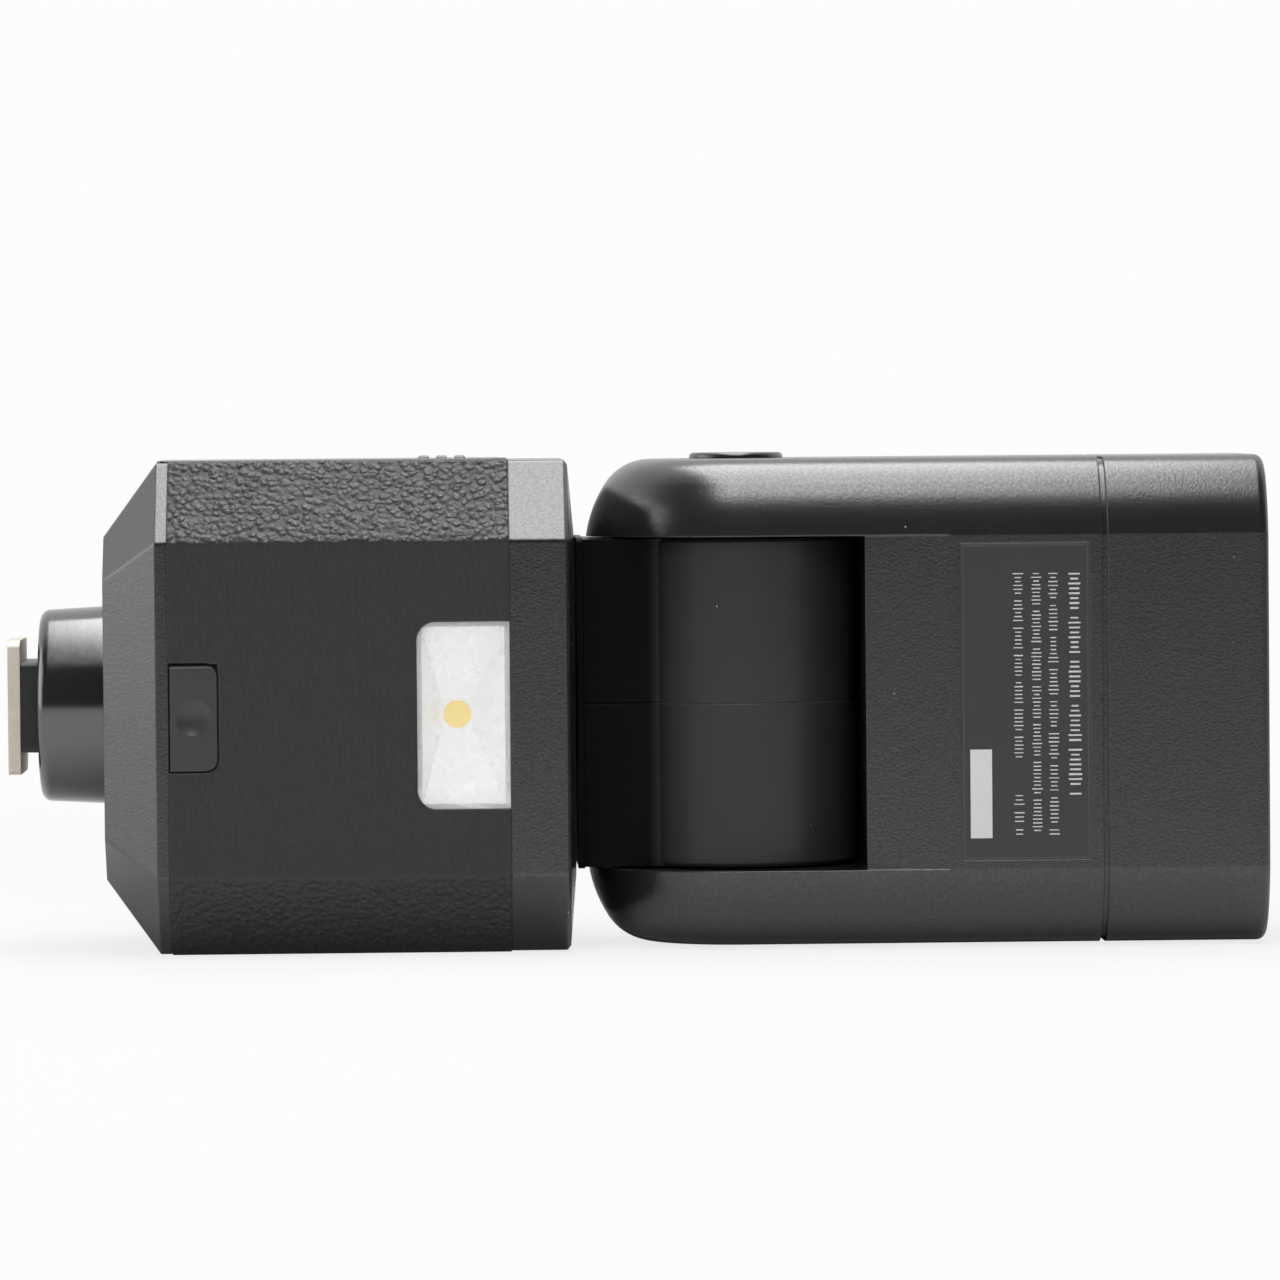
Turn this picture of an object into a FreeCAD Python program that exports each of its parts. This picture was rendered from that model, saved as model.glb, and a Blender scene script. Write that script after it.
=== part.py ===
"""Shoe-mount speedlight flash, lying on its side with the head raised in line with the body.

Every piece is built in the flash's own frame, in millimetres: the origin is where the tilt axis crosses
the swivel axis, +X runs up the flash from the foot to the head, +Y runs from the front of the flash to its
back, and +Z points to the side that carries the battery door.  The export moves that origin so that the
row's origin is at the middle of the underside.
"""

import FreeCAD, Part
import math
import os

V = FreeCAD.Vector
OUT = "parts"

# ---- clearances -------------------------------------------------------------------------------------
fit_gap = 0.05          # radial clearance of a shaft in its bore
slide_gap = 0.2         # clearance round a sliding or pressed piece
joint_gap = 0.3         # clearance between bodies that turn past each other

# ---- body: an eight-sided prism ---------------------------------------------------------------------
body_width = 67.3       # across the covering, the side it lies on to the door side
body_depth = 54.0       # front face to back face
facet_width = 10.8      # corner facet, measured across the width
facet_depth = 9.5       # corner facet, measured front to back
edge_round = 1.0        # rounding of the long edges between the facets
wall = 2.0              # thickness of the moulded shells
skin = 0.8              # thickness of the leather-grain covering
trim_inset = 0.15       # how far the plain mouldings lie below the covering

plateau_drop = 22.8     # tilt axis down to the flat top of the body
slope_rise = 0.9        # sloping top of the body
bevel_rise = 0.5        # bevel round the top moulding
bevel_in = 0.6          # how far that bevel steps in
trim_height = 7.65       # plain band of the top moulding
skin_length = 46.2      # leather-grain covering, along the flash
rim_height = 1.65        # plain band of the base moulding
taper_height = 7.4      # sloping part of the base moulding
base_in_w = 10.0        # how far the base slopes in, across the width
base_in_d = 7.5         # how far the base slopes in, front to back
base_facets = 0.55      # corner facets at the bottom, as a share of the full ones
top_facets = 0.6        # and round the flat top
plateau_w = 23.6        # half width of the flat top
plateau_d = 16.0        # half depth of the flat top

# ---- shoe foot --------------------------------------------------------------------------------------
collar_height = 9.4
collar_radius = 13.7
collar_draft = 0.5      # how much smaller the collar's radius is at the foot
collar_round = 1.4
collar_floor = 1.5
neck_corner = 0.8       # rounded corners of the shoe neck and its insert
shoe_gap = 2.5          # space for the rails of the camera's shoe
shoe_neck_width = 12.4
shoe_neck_length = 17.8
flange_thick = 1.2      # flange of the neck inside the collar
plate_width = 18.5
plate_length = 18.0
plate_thick = 1.7
plate_corner = 1.4
insert_width = 11.6     # insulating insert in the plate, across the width
insert_length = 12.6
sync_radius = 1.3
contact_radius = 0.75
contact_travel = 0.3
contact_proud = contact_travel + 0.1
contact_head = 0.5      # how much wider a contact's head is than its pin
contact_head_thick = 0.6
contact_pitch = 2.9
contact_row = 4.4       # distance of the row of contacts behind the sync contact
lock_pin_radius = 1.0
lock_pin_ahead = 7.55   # distance of the locking pin ahead of the sync contact
lock_pin_travel = 1.5
lock_turn = 50.0        # degrees that the locking lever turns
lever_thick = 2.6
lever_plate = 1.2
lever_disc = 10.4
lever_reach = 17.2
lever_width = 7.0
pivot_radius = 5.0      # tube under the base that the lever turns on
pivot_bore = 3.4
pivot_length = 3.2
plate_screw_y = 7.4
plate_screw_z = 4.2
screw_head = 1.1
screw_shank = 0.7
screw_short = 0.4       # end of a plate screw below the top of the flange
screw_cross = 0.12      # half width of the driver cross
screw_cross_deep = 0.35
base_screw_front = 13.4 # screws that hold the base, ahead of the middle
base_screw_back = 12.4  # and behind it
base_screw_side = 16.0
base_screw_radius = 1.0
base_screw_head = 2.0
base_screw_head_thick = 1.0
base_screw_sunk = 0.4   # head below the bottom
base_screw_bite = 2.2   # thread in the battery box
base_post_radius = 2.8
base_cross_half = 1.3
base_cross_width = 0.2
pin_stop = 0.7          # how much wider the locking pin is at its top
pin_stop_thick = 0.8
pin_spare = 1.0

# ---- neck and tilt barrel ---------------------------------------------------------------------------
table_thick = 0.9
table_lip = 0.25        # how far the turntable reaches past the neck
table_corner = 1.0
barrel_radius = 16.3
barrel_bevel = 0.5
neck_seam = 0.15        # half width and depth of the seam between the neck's halves
neck_thick = 11.8       # half thickness of the neck below the barrel
neck_wall = 2.2
axle_radius = 4.0
axle_bore = 2.4
boss_radius = 7.0
hub_radius = 9.0
hub_bore = 6.0
hub_depth = 5.4         # hub below the top of the body
bush_radius = 11.0
ring_radius = 12.5
ring_thick = 0.9

# ---- head -------------------------------------------------------------------------------------------
head_half_w = 33.4
head_half_t = 20.9
neck_side = 10.9        # side of the head to the side of the neck
neck_half = head_half_w - neck_side
axle_side = 5.4         # side of the head to the end of the axle
axle_end = head_half_w - axle_side
head_side_flat = 12.0   # half depth of the flat side
head_round = 7.4        # small radius beside the flat side
head_split_angle = 57.0
head_face_angle = 82.0
head_length = 71.9      # tilt axis to the front of the head
bezel_length = 22.9
bezel_wall = 3.0        # front wall of the bezel
front_round = 1.2       # rounding of the bezel's front edge
round_steps = 4         # flats that make up that rounding
seam_wide = 0.8
seam_deep = 0.6
slot_reach = 16.8       # tilt axis to the near edge of the head's slot
pocket_deep = 2.0
label_gap = 1.7         # label to the seam of the bezel
label_length = 17.6
label_start = head_length - bezel_length - label_gap - label_length
label_half = neck_half - 0.9
label_thick = 0.4
pocket_gap = 1.3        # end of the sloping pocket to the label
pocket_end = label_start - pocket_gap
button_radius = 6.5
button_travel = 1.0
button_proud = button_travel - 0.2
button_round = 0.6
button_rim = 0.8        # how much wider the lip is than the button
button_lip = 0.9
stem_radius = 1.9
stem_length = 18.0

lens_side = 5.4         # side of the head to the side of the lens
lens_half_w = head_half_w - lens_side
lens_low = -17.2        # lens opening, front edge
lens_high = 11.6        # lens opening, back edge
lens_thick = 2.0
lens_recess = 0.8
lens_corner = 3.0
panel_thick = 1.2
panel_half_w = lens_half_w - 2.0
panel_travel = 36.0
panel_held = 4.0        # what stays in the bezel when a panel is pulled out
panel_length = panel_travel + panel_held
panel_recess = 0.2
card_thick = 0.6
panel_y = 14.2          # front face of the wide panel
card_y = 16.2           # front face of the catchlight card
rail_thick = 1.2
rail_stand = 0.8        # rails ahead of the wide panel's face
nail_notch = 6.0        # half width of the notch for pulling the panels out
notch_deep = 1.3

reflector_half_w = lens_half_w - 5.0
reflector_half_t = 10.5
reflector_depth = 17.0
reflector_wall = 0.8
reflector_back = 1.6    # space between the lens and the reflector
tube_radius = 2.6
tube_clear = 0.3        # tube's hole in the reflector's end walls
tube_past = 0.7         # how far the tube reaches into the reflector's end walls
tube_ahead = 5.0        # tube's centre ahead of the reflector's back
carriage_wall = 1.4
carriage_length = 9.0
carriage_in = 1.0       # front of the reflector to the carriage
lug_past = 2.4          # how far the lugs reach past the rods' centres
lug_thick = 5.0
zoom_travel = 14.0
rod_radius = 1.0
rod_offset = 7.5        # second guide rod behind the lead screw
screw_radius = 1.4
drive_side = 3.5        # lead screw and guide rods beside the reflector
drive_z = reflector_half_w + reflector_wall + drive_side
frame_gap = 5.5         # reflector drawn right back to the zoom frame
frame_thick = 1.2
frame_rim = 1.2         # frame past the lugs
motor_radius = (neck_side - joint_gap) / 2 - wall - slide_gap   # fits between the slot and the side
motor_length = 8.6

# ---- front of the body ------------------------------------------------------------------------------
front_shift = 0.9       # lamp and socket, from the middle towards the side it lies on
lamp_length = 12.6
lamp_half = 12.7
lamp_corner = 2.6
lamp_thick = 1.6
lamp_cup_deep = 4.6
lamp_cup_edge = 0.7
led_radius = 1.9
led_board = 1.0
led_board_half = 8.0
led_board_edge = 1.0
led_stand = 0.8         # how far the LED stands into the reflector
led_shift = 0.85        # LED, from the middle of the lamp towards the foot
socket_length = 6.6
socket_half = 7.2
socket_corner = 1.6
socket_behind = 1.25     # back of the socket to the battery box
socket_rim = 1.0
socket_inner_corner = 0.8
pin_hole_radius = 0.9
pin_hole_pitch = 3.2
pin_hole_floor = 1.5    # bottom of the pin holes to the bottom of the socket
flap_thick = 1.6
flap_seam = 0.25
dimple_radius = 2.45    # dished nail recess in the flap
dimple_deep = 0.7

# ---- back of the body -------------------------------------------------------------------------------
panel_side = 11.35      # side of the body to the control panel
panel_half = body_width / 2 - panel_side
display_length = 17.0
display_side = 2.3      # edge of the panel to the side of the display
display_half = panel_half - display_side
display_gap = 2.4       # top of the covering down to the display
display_thick = 1.2
display_rim = 1.5
display_corner = 1.5
display_inner_corner = 0.8
key_length = 3.8
key_width = 10.6
key_pitch = 14.2
key_count = 3
key_gap = 2.2           # display down to the row of keys
key_proud = 0.9
key_travel = 0.5
key_lip = 0.6
key_lip_thick = 0.9
key_corner = 1.2
key_round = 0.4
dome_radius = 2.0       # switches under the keys and the dial
dial_radius = 9.4
dial_bore = 4.9
dial_stem = 6.2
dial_proud = 3.2
dial_up = 10.4          # dial's centre above the bottom of the covering
dial_round = 0.8
dial_sunk = 1.0         # dial's stem inside the back shell
dial_grips = 24
grip_radius = 0.55
grip_out = 0.1          # grooves' centres outside the dial's rim
set_proud = 3.6
set_sunk = 0.9
set_round = 0.6
switch_length = 5.2
switch_width = 4.6
switch_proud = 1.3
switch_travel = 3.5
switch_corner = 1.2
switch_round = 0.35
switch_stem_in = 1.2    # end of the switch to its stem
switch_stem_half = 1.0
switch_stem_corner = 0.9
switch_plate_half = 2.0
switch_plate_thick = 0.8
switch_plate_corner = 0.8
switch_z = 16.6
board_thick = 1.0
board_depth = 7.6       # key board behind the back face
post_radius = 1.4       # posts that hold the key board
post_in_w = 2.0         # posts from the ends of the board
post_in_l = 3.0         # and from the covering's end and the keys

# ---- battery bay ------------------------------------------------------------------------------------
cell_radius = 7.2
bay_margin = 16.9       # shells, contacts and door, across the width beside the cells
cell_length = body_width - bay_margin
cell_nub = 1.0
cell_nub_radius = 2.7
cell_round = 0.5
cell_pitch = 14.6
cell_gap = 0.25
cell_shift = 0.5        # cells, from the middle towards the front
box_wall = 1.2
box_foot = 1.5          # radius of the feet that stand on the main board
box_drop = 0.5          # how far the battery box reaches into the base moulding
contact_plate = 0.5
contact_bump = 1.0
contact_half = 2.5      # half width of a contact strip
door_thick = 1.6
door_side = 2.3         # edge of the flat side to the door's hinge axis, and to its free edge
door_hinge_y = body_depth / 2 - facet_depth - door_side
door_free_y = door_hinge_y
door_travel = 3.5
door_barrel = 1.2       # radius of the hinge barrel
door_pin_radius = 0.6
door_proud = 0.1
door_swing_gap = 0.6    # room behind the hinge edge where the door swings past the base
door_top_gap = 1.0
door_corner = 1.0
door_web = 0.5          # how far a knuckle runs into the door
ridge_root = 0.2        # how far a grip ridge is set into the door
door_contact_deep = 3.0
ridge_height = 0.35
ridge_width = 1.5
ridge_pitch = 2.5
ridge_count = 3
ridge_half = 9.0
ridge_start = 11.2      # top of the door down to the first ridge
knuckle_length = 5.0
knuckle_inset = 8.0     # knuckles from the ends of the door

main_cap_radius = 7.5
main_cap_length = 38.0
main_cap_y = 8.6
can_round = 0.8
main_board_gap = 2.2
main_board_half = 14.0  # half depth of the main board
main_board_thick = 1.4
board_edge = 1.0        # boards from the ends of the covering
foot_x = 9.0
foot_front = 12.0
foot_back = 11.5
chip_size = 7.0
chip_thick = 1.4
chip_x = (-10.0, 2.0)   # chips from the middle of the cells
chip_y = (-9.0, 2.0)
coil_width = 11.0
coil_height = 9.0
coil_end = 3.0

# ---- stations along the flash, worked out from the sizes above --------------------------------------
half_w = body_width / 2
half_d = body_depth / 2
x_plateau = -plateau_drop
x_bevel_top = x_plateau - slope_rise
x_trim_top = x_bevel_top - bevel_rise
x_skin_top = x_trim_top - trim_height
x_skin_low = x_skin_top - skin_length
x_rim_low = x_skin_low - rim_height
x_base = x_rim_low - taper_height
x_collar_low = x_base - collar_height
x_plate_top = x_collar_low - shoe_gap
x_foot = x_plate_top - plate_thick
x_tip = x_foot - contact_proud
x_flange = x_collar_low + collar_floor
x_flange_top = x_flange + flange_thick
x_pin_top = x_flange_top + lock_pin_travel + pin_spare
x_lever_top = x_base - joint_gap
x_table = x_plateau + joint_gap
x_neck = x_table + table_thick
x_bezel = head_length - bezel_length
x_lens = head_length - lens_recess - lens_thick
x_reflector = x_lens - reflector_back
x_reflector_low = x_reflector - reflector_depth
frame_start = x_reflector_low - reflector_wall - zoom_travel - frame_gap - frame_thick
y_lens = (lens_low + lens_high) / 2
y_back_top = half_d + set_proud
inner_w = half_w - skin - wall
inner_d = half_d - skin - wall

x_lamp = x_skin_top - lamp_length
x_socket = x_skin_low + flap_seam
x_display = x_skin_top - display_gap
x_keys = x_display - display_length - key_gap
x_dial = x_skin_low + dial_up
y_board = half_d - board_depth

cell_bore = cell_radius + cell_gap
bay_half = cell_pitch / 2 + cell_bore
x_cells = x_skin_low - box_drop + box_wall + bay_half
x_box_top = x_cells + bay_half + box_wall
door_top = half_w + door_proud
door_floor = door_top - door_thick
door_edge_y = door_hinge_y - door_barrel
door_hinge_z = door_top - door_barrel
x_door = x_rim_low
x_door_top = x_skin_top - door_top_gap
z_cell_top = door_floor - door_contact_deep - slide_gap
z_cell_low = z_cell_top - cell_length
z_box_low = z_cell_low - contact_plate - contact_bump - box_wall
x_cap = x_box_top + main_cap_radius

# The row's origin: the middle of the whole flash, on the side that it lies on.
to_row = V(-(head_length + x_tip) / 2, -(y_back_top - half_d) / 2, half_w)


# ---- small shape helpers ----------------------------------------------------------------------------
def box(x0, x1, y0, y1, z0, z1):
    return Part.makeBox(x1 - x0, y1 - y0, z1 - z0, V(x0, y0, z0))


def rod_x(r, x0, x1, y=0.0, z=0.0):
    return Part.makeCylinder(r, x1 - x0, V(x0, y, z), V(1, 0, 0))


def rod_y(r, y0, y1, x=0.0, z=0.0):
    return Part.makeCylinder(r, y1 - y0, V(x, y0, z), V(0, 1, 0))


def rod_z(r, z0, z1, x=0.0, y=0.0):
    return Part.makeCylinder(r, z1 - z0, V(x, y, z0), V(0, 0, 1))


def joined(shapes):
    first, rest = shapes[0], list(shapes[1:])
    return first.fuse(rest).removeSplitter() if rest else first


def rounded_wire(points, radii):
    """Closed wire through 3D points in one plane, each corner rounded by its radius (0 keeps it sharp)."""
    n = len(points)
    spans = []
    for i in range(n):
        p, a, b = points[i], points[i - 1], points[(i + 1) % n]
        if radii[i] <= 0:
            spans.append((p, None, p))
            continue
        u, w = (a - p).normalize(), (b - p).normalize()
        half = u.getAngle(w) / 2
        reach = radii[i] / math.tan(half)
        bisector = (u + w).normalize()
        centre = p + bisector * (radii[i] / math.sin(half))
        spans.append((p + u * reach, centre - bisector * radii[i], p + w * reach))
    edges = []
    for i in range(n):
        start, middle, end = spans[i]
        if middle is not None:
            edges.append(Part.Arc(start, middle, end).toShape())
        following = spans[(i + 1) % n][0]
        if (following - end).Length > 1e-6:
            edges.append(Part.LineSegment(end, following).toShape())
    return Part.Wire(edges)


def prism(wire, along):
    return Part.Face(wire).extrude(along)


def plate_wire(plane, at, a0, a1, b0, b1, radii):
    """Rectangle in the plane 'x' or 'y' at that coordinate; a runs along the flash or depth, b along Z."""
    corners = [(a0, b0), (a1, b0), (a1, b1), (a0, b1)]
    if plane == "y":
        points = [V(a, at, b) for a, b in corners]
    else:
        points = [V(at, a, b) for a, b in corners]
    return rounded_wire(points, radii)


def pad_y(x0, x1, z0, z1, y0, y1, radius):
    """Plate with its face to the front or back, its four corners rounded."""
    return prism(plate_wire("y", y0, x0, x1, z0, z1, [radius] * 4), V(0, y1 - y0, 0))


def pad_x(y0, y1, z0, z1, x0, x1, radius):
    return prism(plate_wire("x", x0, y0, y1, z0, z1, [radius] * 4), V(x1 - x0, 0, 0))


# ---- sections of the body ---------------------------------------------------------------------------
def body_section(inset):
    """Half depth, half width and facet sizes of the eight-sided section, moved inwards by inset."""
    hy, hz = half_d - inset, half_w - inset
    level = half_d / facet_depth + half_w / facet_width - 1
    level -= inset * math.hypot(1 / facet_depth, 1 / facet_width)
    cut_w = hz - facet_width * (level - hy / facet_depth)
    cut_d = hy - facet_depth * (level - hz / facet_width)
    return hy, hz, cut_d, cut_w


def eight_sided(hy, hz, cut_d, cut_w, x, radius):
    corners = [
        (-hy, -(hz - cut_w)), (-(hy - cut_d), -hz), (hy - cut_d, -hz), (hy, -(hz - cut_w)),
        (hy, hz - cut_w), (hy - cut_d, hz), (-(hy - cut_d), hz), (-hy, hz - cut_w),
    ]
    return rounded_wire([V(x, y, z) for y, z in corners], [radius] * 8)


def body_prism(inset, x0, x1, radius=edge_round):
    return prism(eight_sided(*body_section(inset), x0, radius), V(x1 - x0, 0, 0))


def loft(wires):
    """Solid between two closed wires that have the same edges in the same order."""
    low, high = wires
    sides = [Part.makeRuledSurface(a, b) for a, b in zip(low.Edges, high.Edges)]
    return Part.makeSolid(Part.makeShell(sides + [Part.Face(low), Part.Face(high)]))


def base_form(inset, x_top):
    """Base moulding: a plain band, then a slope down to the smaller bottom, all moved inwards by inset."""
    hy, hz, cut_d, cut_w = body_section(inset + trim_inset)
    foot = (hy - base_in_d, hz - base_in_w, cut_d * base_facets, cut_w * base_facets)
    x_low = x_base + inset
    band = prism(eight_sided(hy, hz, cut_d, cut_w, x_rim_low, edge_round), V(x_top - x_rim_low, 0, 0))
    slope = loft([eight_sided(*foot, x_low, edge_round), eight_sided(hy, hz, cut_d, cut_w, x_rim_low, edge_round)])
    return joined([band, slope])


def top_form(inset, x_low):
    """Top moulding: a plain band, a narrow bevel, then a slope up to the flat top."""
    hy, hz, cut_d, cut_w = body_section(inset + trim_inset)
    lip = body_section(inset + trim_inset + bevel_in)
    flat = (plateau_d - inset, plateau_w - inset, cut_d * top_facets, cut_w * top_facets)
    band = prism(eight_sided(hy, hz, cut_d, cut_w, x_low, edge_round), V(x_trim_top - inset - x_low, 0, 0))
    bevel = loft([
        eight_sided(hy, hz, cut_d, cut_w, x_trim_top - inset, edge_round),
        eight_sided(*lip, x_bevel_top - inset, edge_round),
    ])
    slope = loft([
        eight_sided(*lip, x_bevel_top - inset, edge_round),
        eight_sided(*flat, x_plateau - inset, edge_round),
    ])
    return joined([band, bevel, slope])


# ---- section of the head ----------------------------------------------------------------------------
def head_quarter(inset):
    """Points of the head's corner in (depth, width), from the flat side round to the flat face."""
    side, face = head_half_w - inset, head_half_t - inset
    small = head_round - inset
    a, e = math.radians(head_split_angle), math.radians(head_face_angle)
    large = (face - head_side_flat - small * math.sin(a)) / (math.sin(e) - math.sin(a))
    c1 = (head_side_flat, side - small)
    c2 = (c1[0] + (small - large) * math.sin(a), c1[1] + (small - large) * math.cos(a))

    def at(centre, radius, angle):
        return (centre[0] + radius * math.sin(angle), centre[1] + radius * math.cos(angle))

    return {
        "start": (head_side_flat, side),
        "mid1": at(c1, small, a / 2),
        "joint": at(c1, small, a),
        "mid2": at(c2, large, (a + e) / 2),
        "end": at(c2, large, e),
    }


def head_section(inset, x):
    """Closed section of the head at one station, across the flash."""
    q = head_quarter(inset)

    def p(name, sy, sz):
        return V(x, sy * q[name][0], sz * q[name][1])

    edges = []
    for sy, sz in ((1, 1), (1, -1), (-1, -1), (-1, 1)):
        order = ["start", "mid1", "joint", "mid2", "end"]
        pts = [p(n, sy, sz) for n in order]
        arcs = [Part.Arc(pts[0], pts[1], pts[2]).toShape(), Part.Arc(pts[2], pts[3], pts[4]).toShape()]
        edges.append((arcs, pts[0], pts[-1]))
    lines = [
        Part.LineSegment(p("end", 1, 1), p("end", 1, -1)).toShape(),
        Part.LineSegment(p("start", 1, -1), p("start", -1, -1)).toShape(),
        Part.LineSegment(p("end", -1, -1), p("end", -1, 1)).toShape(),
        Part.LineSegment(p("start", -1, 1), p("start", 1, 1)).toShape(),
    ]
    every = [e for arcs, _, _ in edges for e in arcs] + lines
    return Part.Wire(Part.__sortEdges__(every))


def head_form(inset, x_end):
    """The head's outside moved inwards: a straight part, and a back that is turned about the tilt axis."""
    q = head_quarter(inset)
    straight = prism(head_section(inset, 0), V(x_end, 0, 0))

    def p(name, sz):
        return V(0, q[name][0], sz * q[name][1])

    side = V(0, 0, q["start"][1])
    edges = [
        Part.LineSegment(side, p("start", 1)).toShape(),
        Part.Arc(p("start", 1), p("mid1", 1), p("joint", 1)).toShape(),
        Part.Arc(p("joint", 1), p("mid2", 1), p("end", 1)).toShape(),
        Part.LineSegment(p("end", 1), p("end", -1)).toShape(),
        Part.Arc(p("end", -1), p("mid2", -1), p("joint", -1)).toShape(),
        Part.Arc(p("joint", -1), p("mid1", -1), p("start", -1)).toShape(),
        Part.LineSegment(p("start", -1), V(0, 0, -side.z)).toShape(),
        Part.LineSegment(V(0, 0, -side.z), side).toShape(),
    ]
    turned = Part.Face(Part.Wire(edges)).revolve(V(0, 0, 0), V(0, 0, 1), 180)
    return joined([straight, turned])


def head_slot(grow, reach_z):
    """Space that the neck sweeps inside the head, widened by grow."""
    deep = head_half_t + 10
    near = box(-deep, slot_reach + grow, -deep, 0, -reach_z, reach_z)
    back = box(-deep, 0, 0, neck_thick + joint_gap + grow, -reach_z, reach_z)
    barrel = rod_z(slot_reach + grow, -reach_z, reach_z)
    return joined([near, back, barrel])


def pocket_wedge(grow):
    """Sloping pocket in the head's front face, ahead of the slot."""
    face = -head_half_t
    outline = [
        V(slot_reach - 1, face - 1, 0), V(pocket_end + grow, face - 1, 0),
        V(pocket_end + grow, face + grow, 0), V(slot_reach + grow, face + pocket_deep + grow, 0),
        V(slot_reach - 1, face + pocket_deep + grow, 0),
    ]
    reach = neck_half + joint_gap + grow
    return prism(rounded_wire([p - V(0, 0, reach) for p in outline], [0] * 5), V(0, 0, 2 * reach))


# ---- shoe foot --------------------------------------------------------------------------------------
def shoe_bores(gap):
    """Bores for the contacts and the locking pin, through the plate's insert and the neck."""
    row = [-1.5 * contact_pitch + i * contact_pitch for i in range(4)]
    bores = [rod_x(sync_radius + gap, x_tip, x_flange_top)]
    bores += [rod_x(contact_radius + gap, x_tip, x_flange_top, contact_row, z) for z in row]
    bores.append(rod_x(lock_pin_radius + gap, x_tip, x_flange_top, -lock_pin_ahead))
    return bores


def countersunk_screw(x, y, z, length, head, shank):
    taper = Part.makeCone(head, shank, head - shank, V(x, y, z), V(1, 0, 0))
    arm = head * 0.6
    cross = box(x - 1, x + screw_cross_deep, y - arm, y + arm, z - screw_cross, z + screw_cross).fuse(
        box(x - 1, x + screw_cross_deep, y - screw_cross, y + screw_cross, z - arm, z + arm))
    return joined([taper, rod_x(shank, x, x + length, y, z)]).cut(cross)


def plate_screws():
    reach = x_flange_top - x_foot - screw_short
    return [
        countersunk_screw(x_foot, y, z, reach, screw_head, screw_shank)
        for y in (-plate_screw_y, plate_screw_y) for z in (-plate_screw_z, plate_screw_z)
    ]


def screw_seats():
    reach = x_flange_top - x_foot - screw_short
    seats = []
    for y in (-plate_screw_y, plate_screw_y):
        for z in (-plate_screw_z, plate_screw_z):
            cone = Part.makeCone(screw_head, screw_shank, screw_head - screw_shank, V(x_foot, y, z), V(1, 0, 0))
            seats += [cone, rod_x(screw_shank, x_foot, x_foot + reach, y, z)]
    return seats


def insert_pad(x0, x1):
    return pad_x(-insert_length / 2, insert_length / 2, -insert_width / 2, insert_width / 2, x0, x1, neck_corner)


def shoe_plate():
    y, z = plate_length / 2, plate_width / 2
    plate = pad_x(-y, y, -z, z, x_foot, x_plate_top, plate_corner)
    return plate.cut([insert_pad(x_foot, x_plate_top)] + shoe_bores(slide_gap) + screw_seats())


def shoe_block():
    y, z = shoe_neck_length / 2, shoe_neck_width / 2
    neck = pad_x(-y, y, -z, z, x_plate_top, x_flange, neck_corner)
    flange = rod_x(collar_radius - collar_draft - wall, x_flange, x_flange_top)
    block = joined([insert_pad(x_foot, x_plate_top), neck, flange])
    return block.cut(shoe_bores(slide_gap / 2) + screw_seats())


def contact_pin(radius, y, z):
    pin = rod_x(radius, x_tip, x_flange_top + fit_gap, y, z)
    pin = pin.makeFillet(radius * 0.5, edges_at_x(pin, x_tip))
    head_x = x_flange_top + fit_gap
    return joined([pin, rod_x(radius + contact_head, head_x, head_x + contact_head_thick, y, z)])


def edges_at_x(shape, x):
    return [e for e in shape.Edges if abs(e.BoundBox.XMin - x) < 1e-5 and abs(e.BoundBox.XMax - x) < 1e-5]


def sync_contact():
    return contact_pin(sync_radius, 0, 0)


def shoe_contacts():
    row = [-1.5 * contact_pitch + i * contact_pitch for i in range(4)]
    return Part.makeCompound([contact_pin(contact_radius, contact_row, z) for z in row])


def lock_pin():
    y = -lock_pin_ahead
    pin = rod_x(lock_pin_radius, x_foot + fit_gap, x_pin_top, y)
    return joined([pin, rod_x(lock_pin_radius + pin_stop, x_pin_top - pin_stop_thick, x_pin_top, y)])


def foot_collar():
    narrow = collar_radius - collar_draft
    outer = Part.makeCone(narrow, collar_radius, collar_height, V(x_collar_low, 0, 0), V(1, 0, 0))
    outer = outer.makeFillet(collar_round, edges_at_x(outer, x_collar_low))
    y, z = shoe_neck_length / 2, shoe_neck_width / 2
    mouth = pad_x(-y, y, -z, z, x_collar_low, x_flange, neck_corner)
    lever_half = (lever_width / 2 + collar_radius * math.sin(math.radians(lock_turn / 2))) + joint_gap
    low = x_lever_top - lever_thick - slide_gap
    slot = box(low, x_base, collar_radius * 0.3, collar_radius + 2, -lever_half, lever_half)
    return outer.cut([rod_x(narrow - wall, x_flange, x_base), mouth, slot])


def lock_lever():
    disc = rod_x(lever_disc, x_lever_top - lever_plate, x_lever_top)
    half = lever_width / 2
    arm = pad_x(0, lever_reach, -half, half, x_lever_top - lever_thick, x_lever_top, half * 0.6)
    lever = joined([disc, arm])
    lever = lever.cut(rod_x(pivot_radius + fit_gap, x_lever_top - lever_thick, x_lever_top))
    lever.rotate(V(0, 0, 0), V(1, 0, 0), -lock_turn / 2)
    return lever


# ---- battery door and its openings ------------------------------------------------------------------
def knuckle_starts():
    return [x_door + knuckle_inset, x_door_top - knuckle_inset - knuckle_length]


def door_recess(behind=slide_gap):
    """Space of the door's plate and of its travel, cut from the covering and the shells."""
    low = x_door - door_travel - slide_gap
    return box(low, x_door_top + slide_gap, -door_free_y - slide_gap, door_edge_y + behind,
               door_floor - slide_gap / 2, half_w + 3)


def hinge_strip():
    far = door_hinge_y + door_barrel + joint_gap
    return box(x_skin_low, x_door_top + slide_gap, door_edge_y, far, half_w - skin, half_w + 3)


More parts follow.
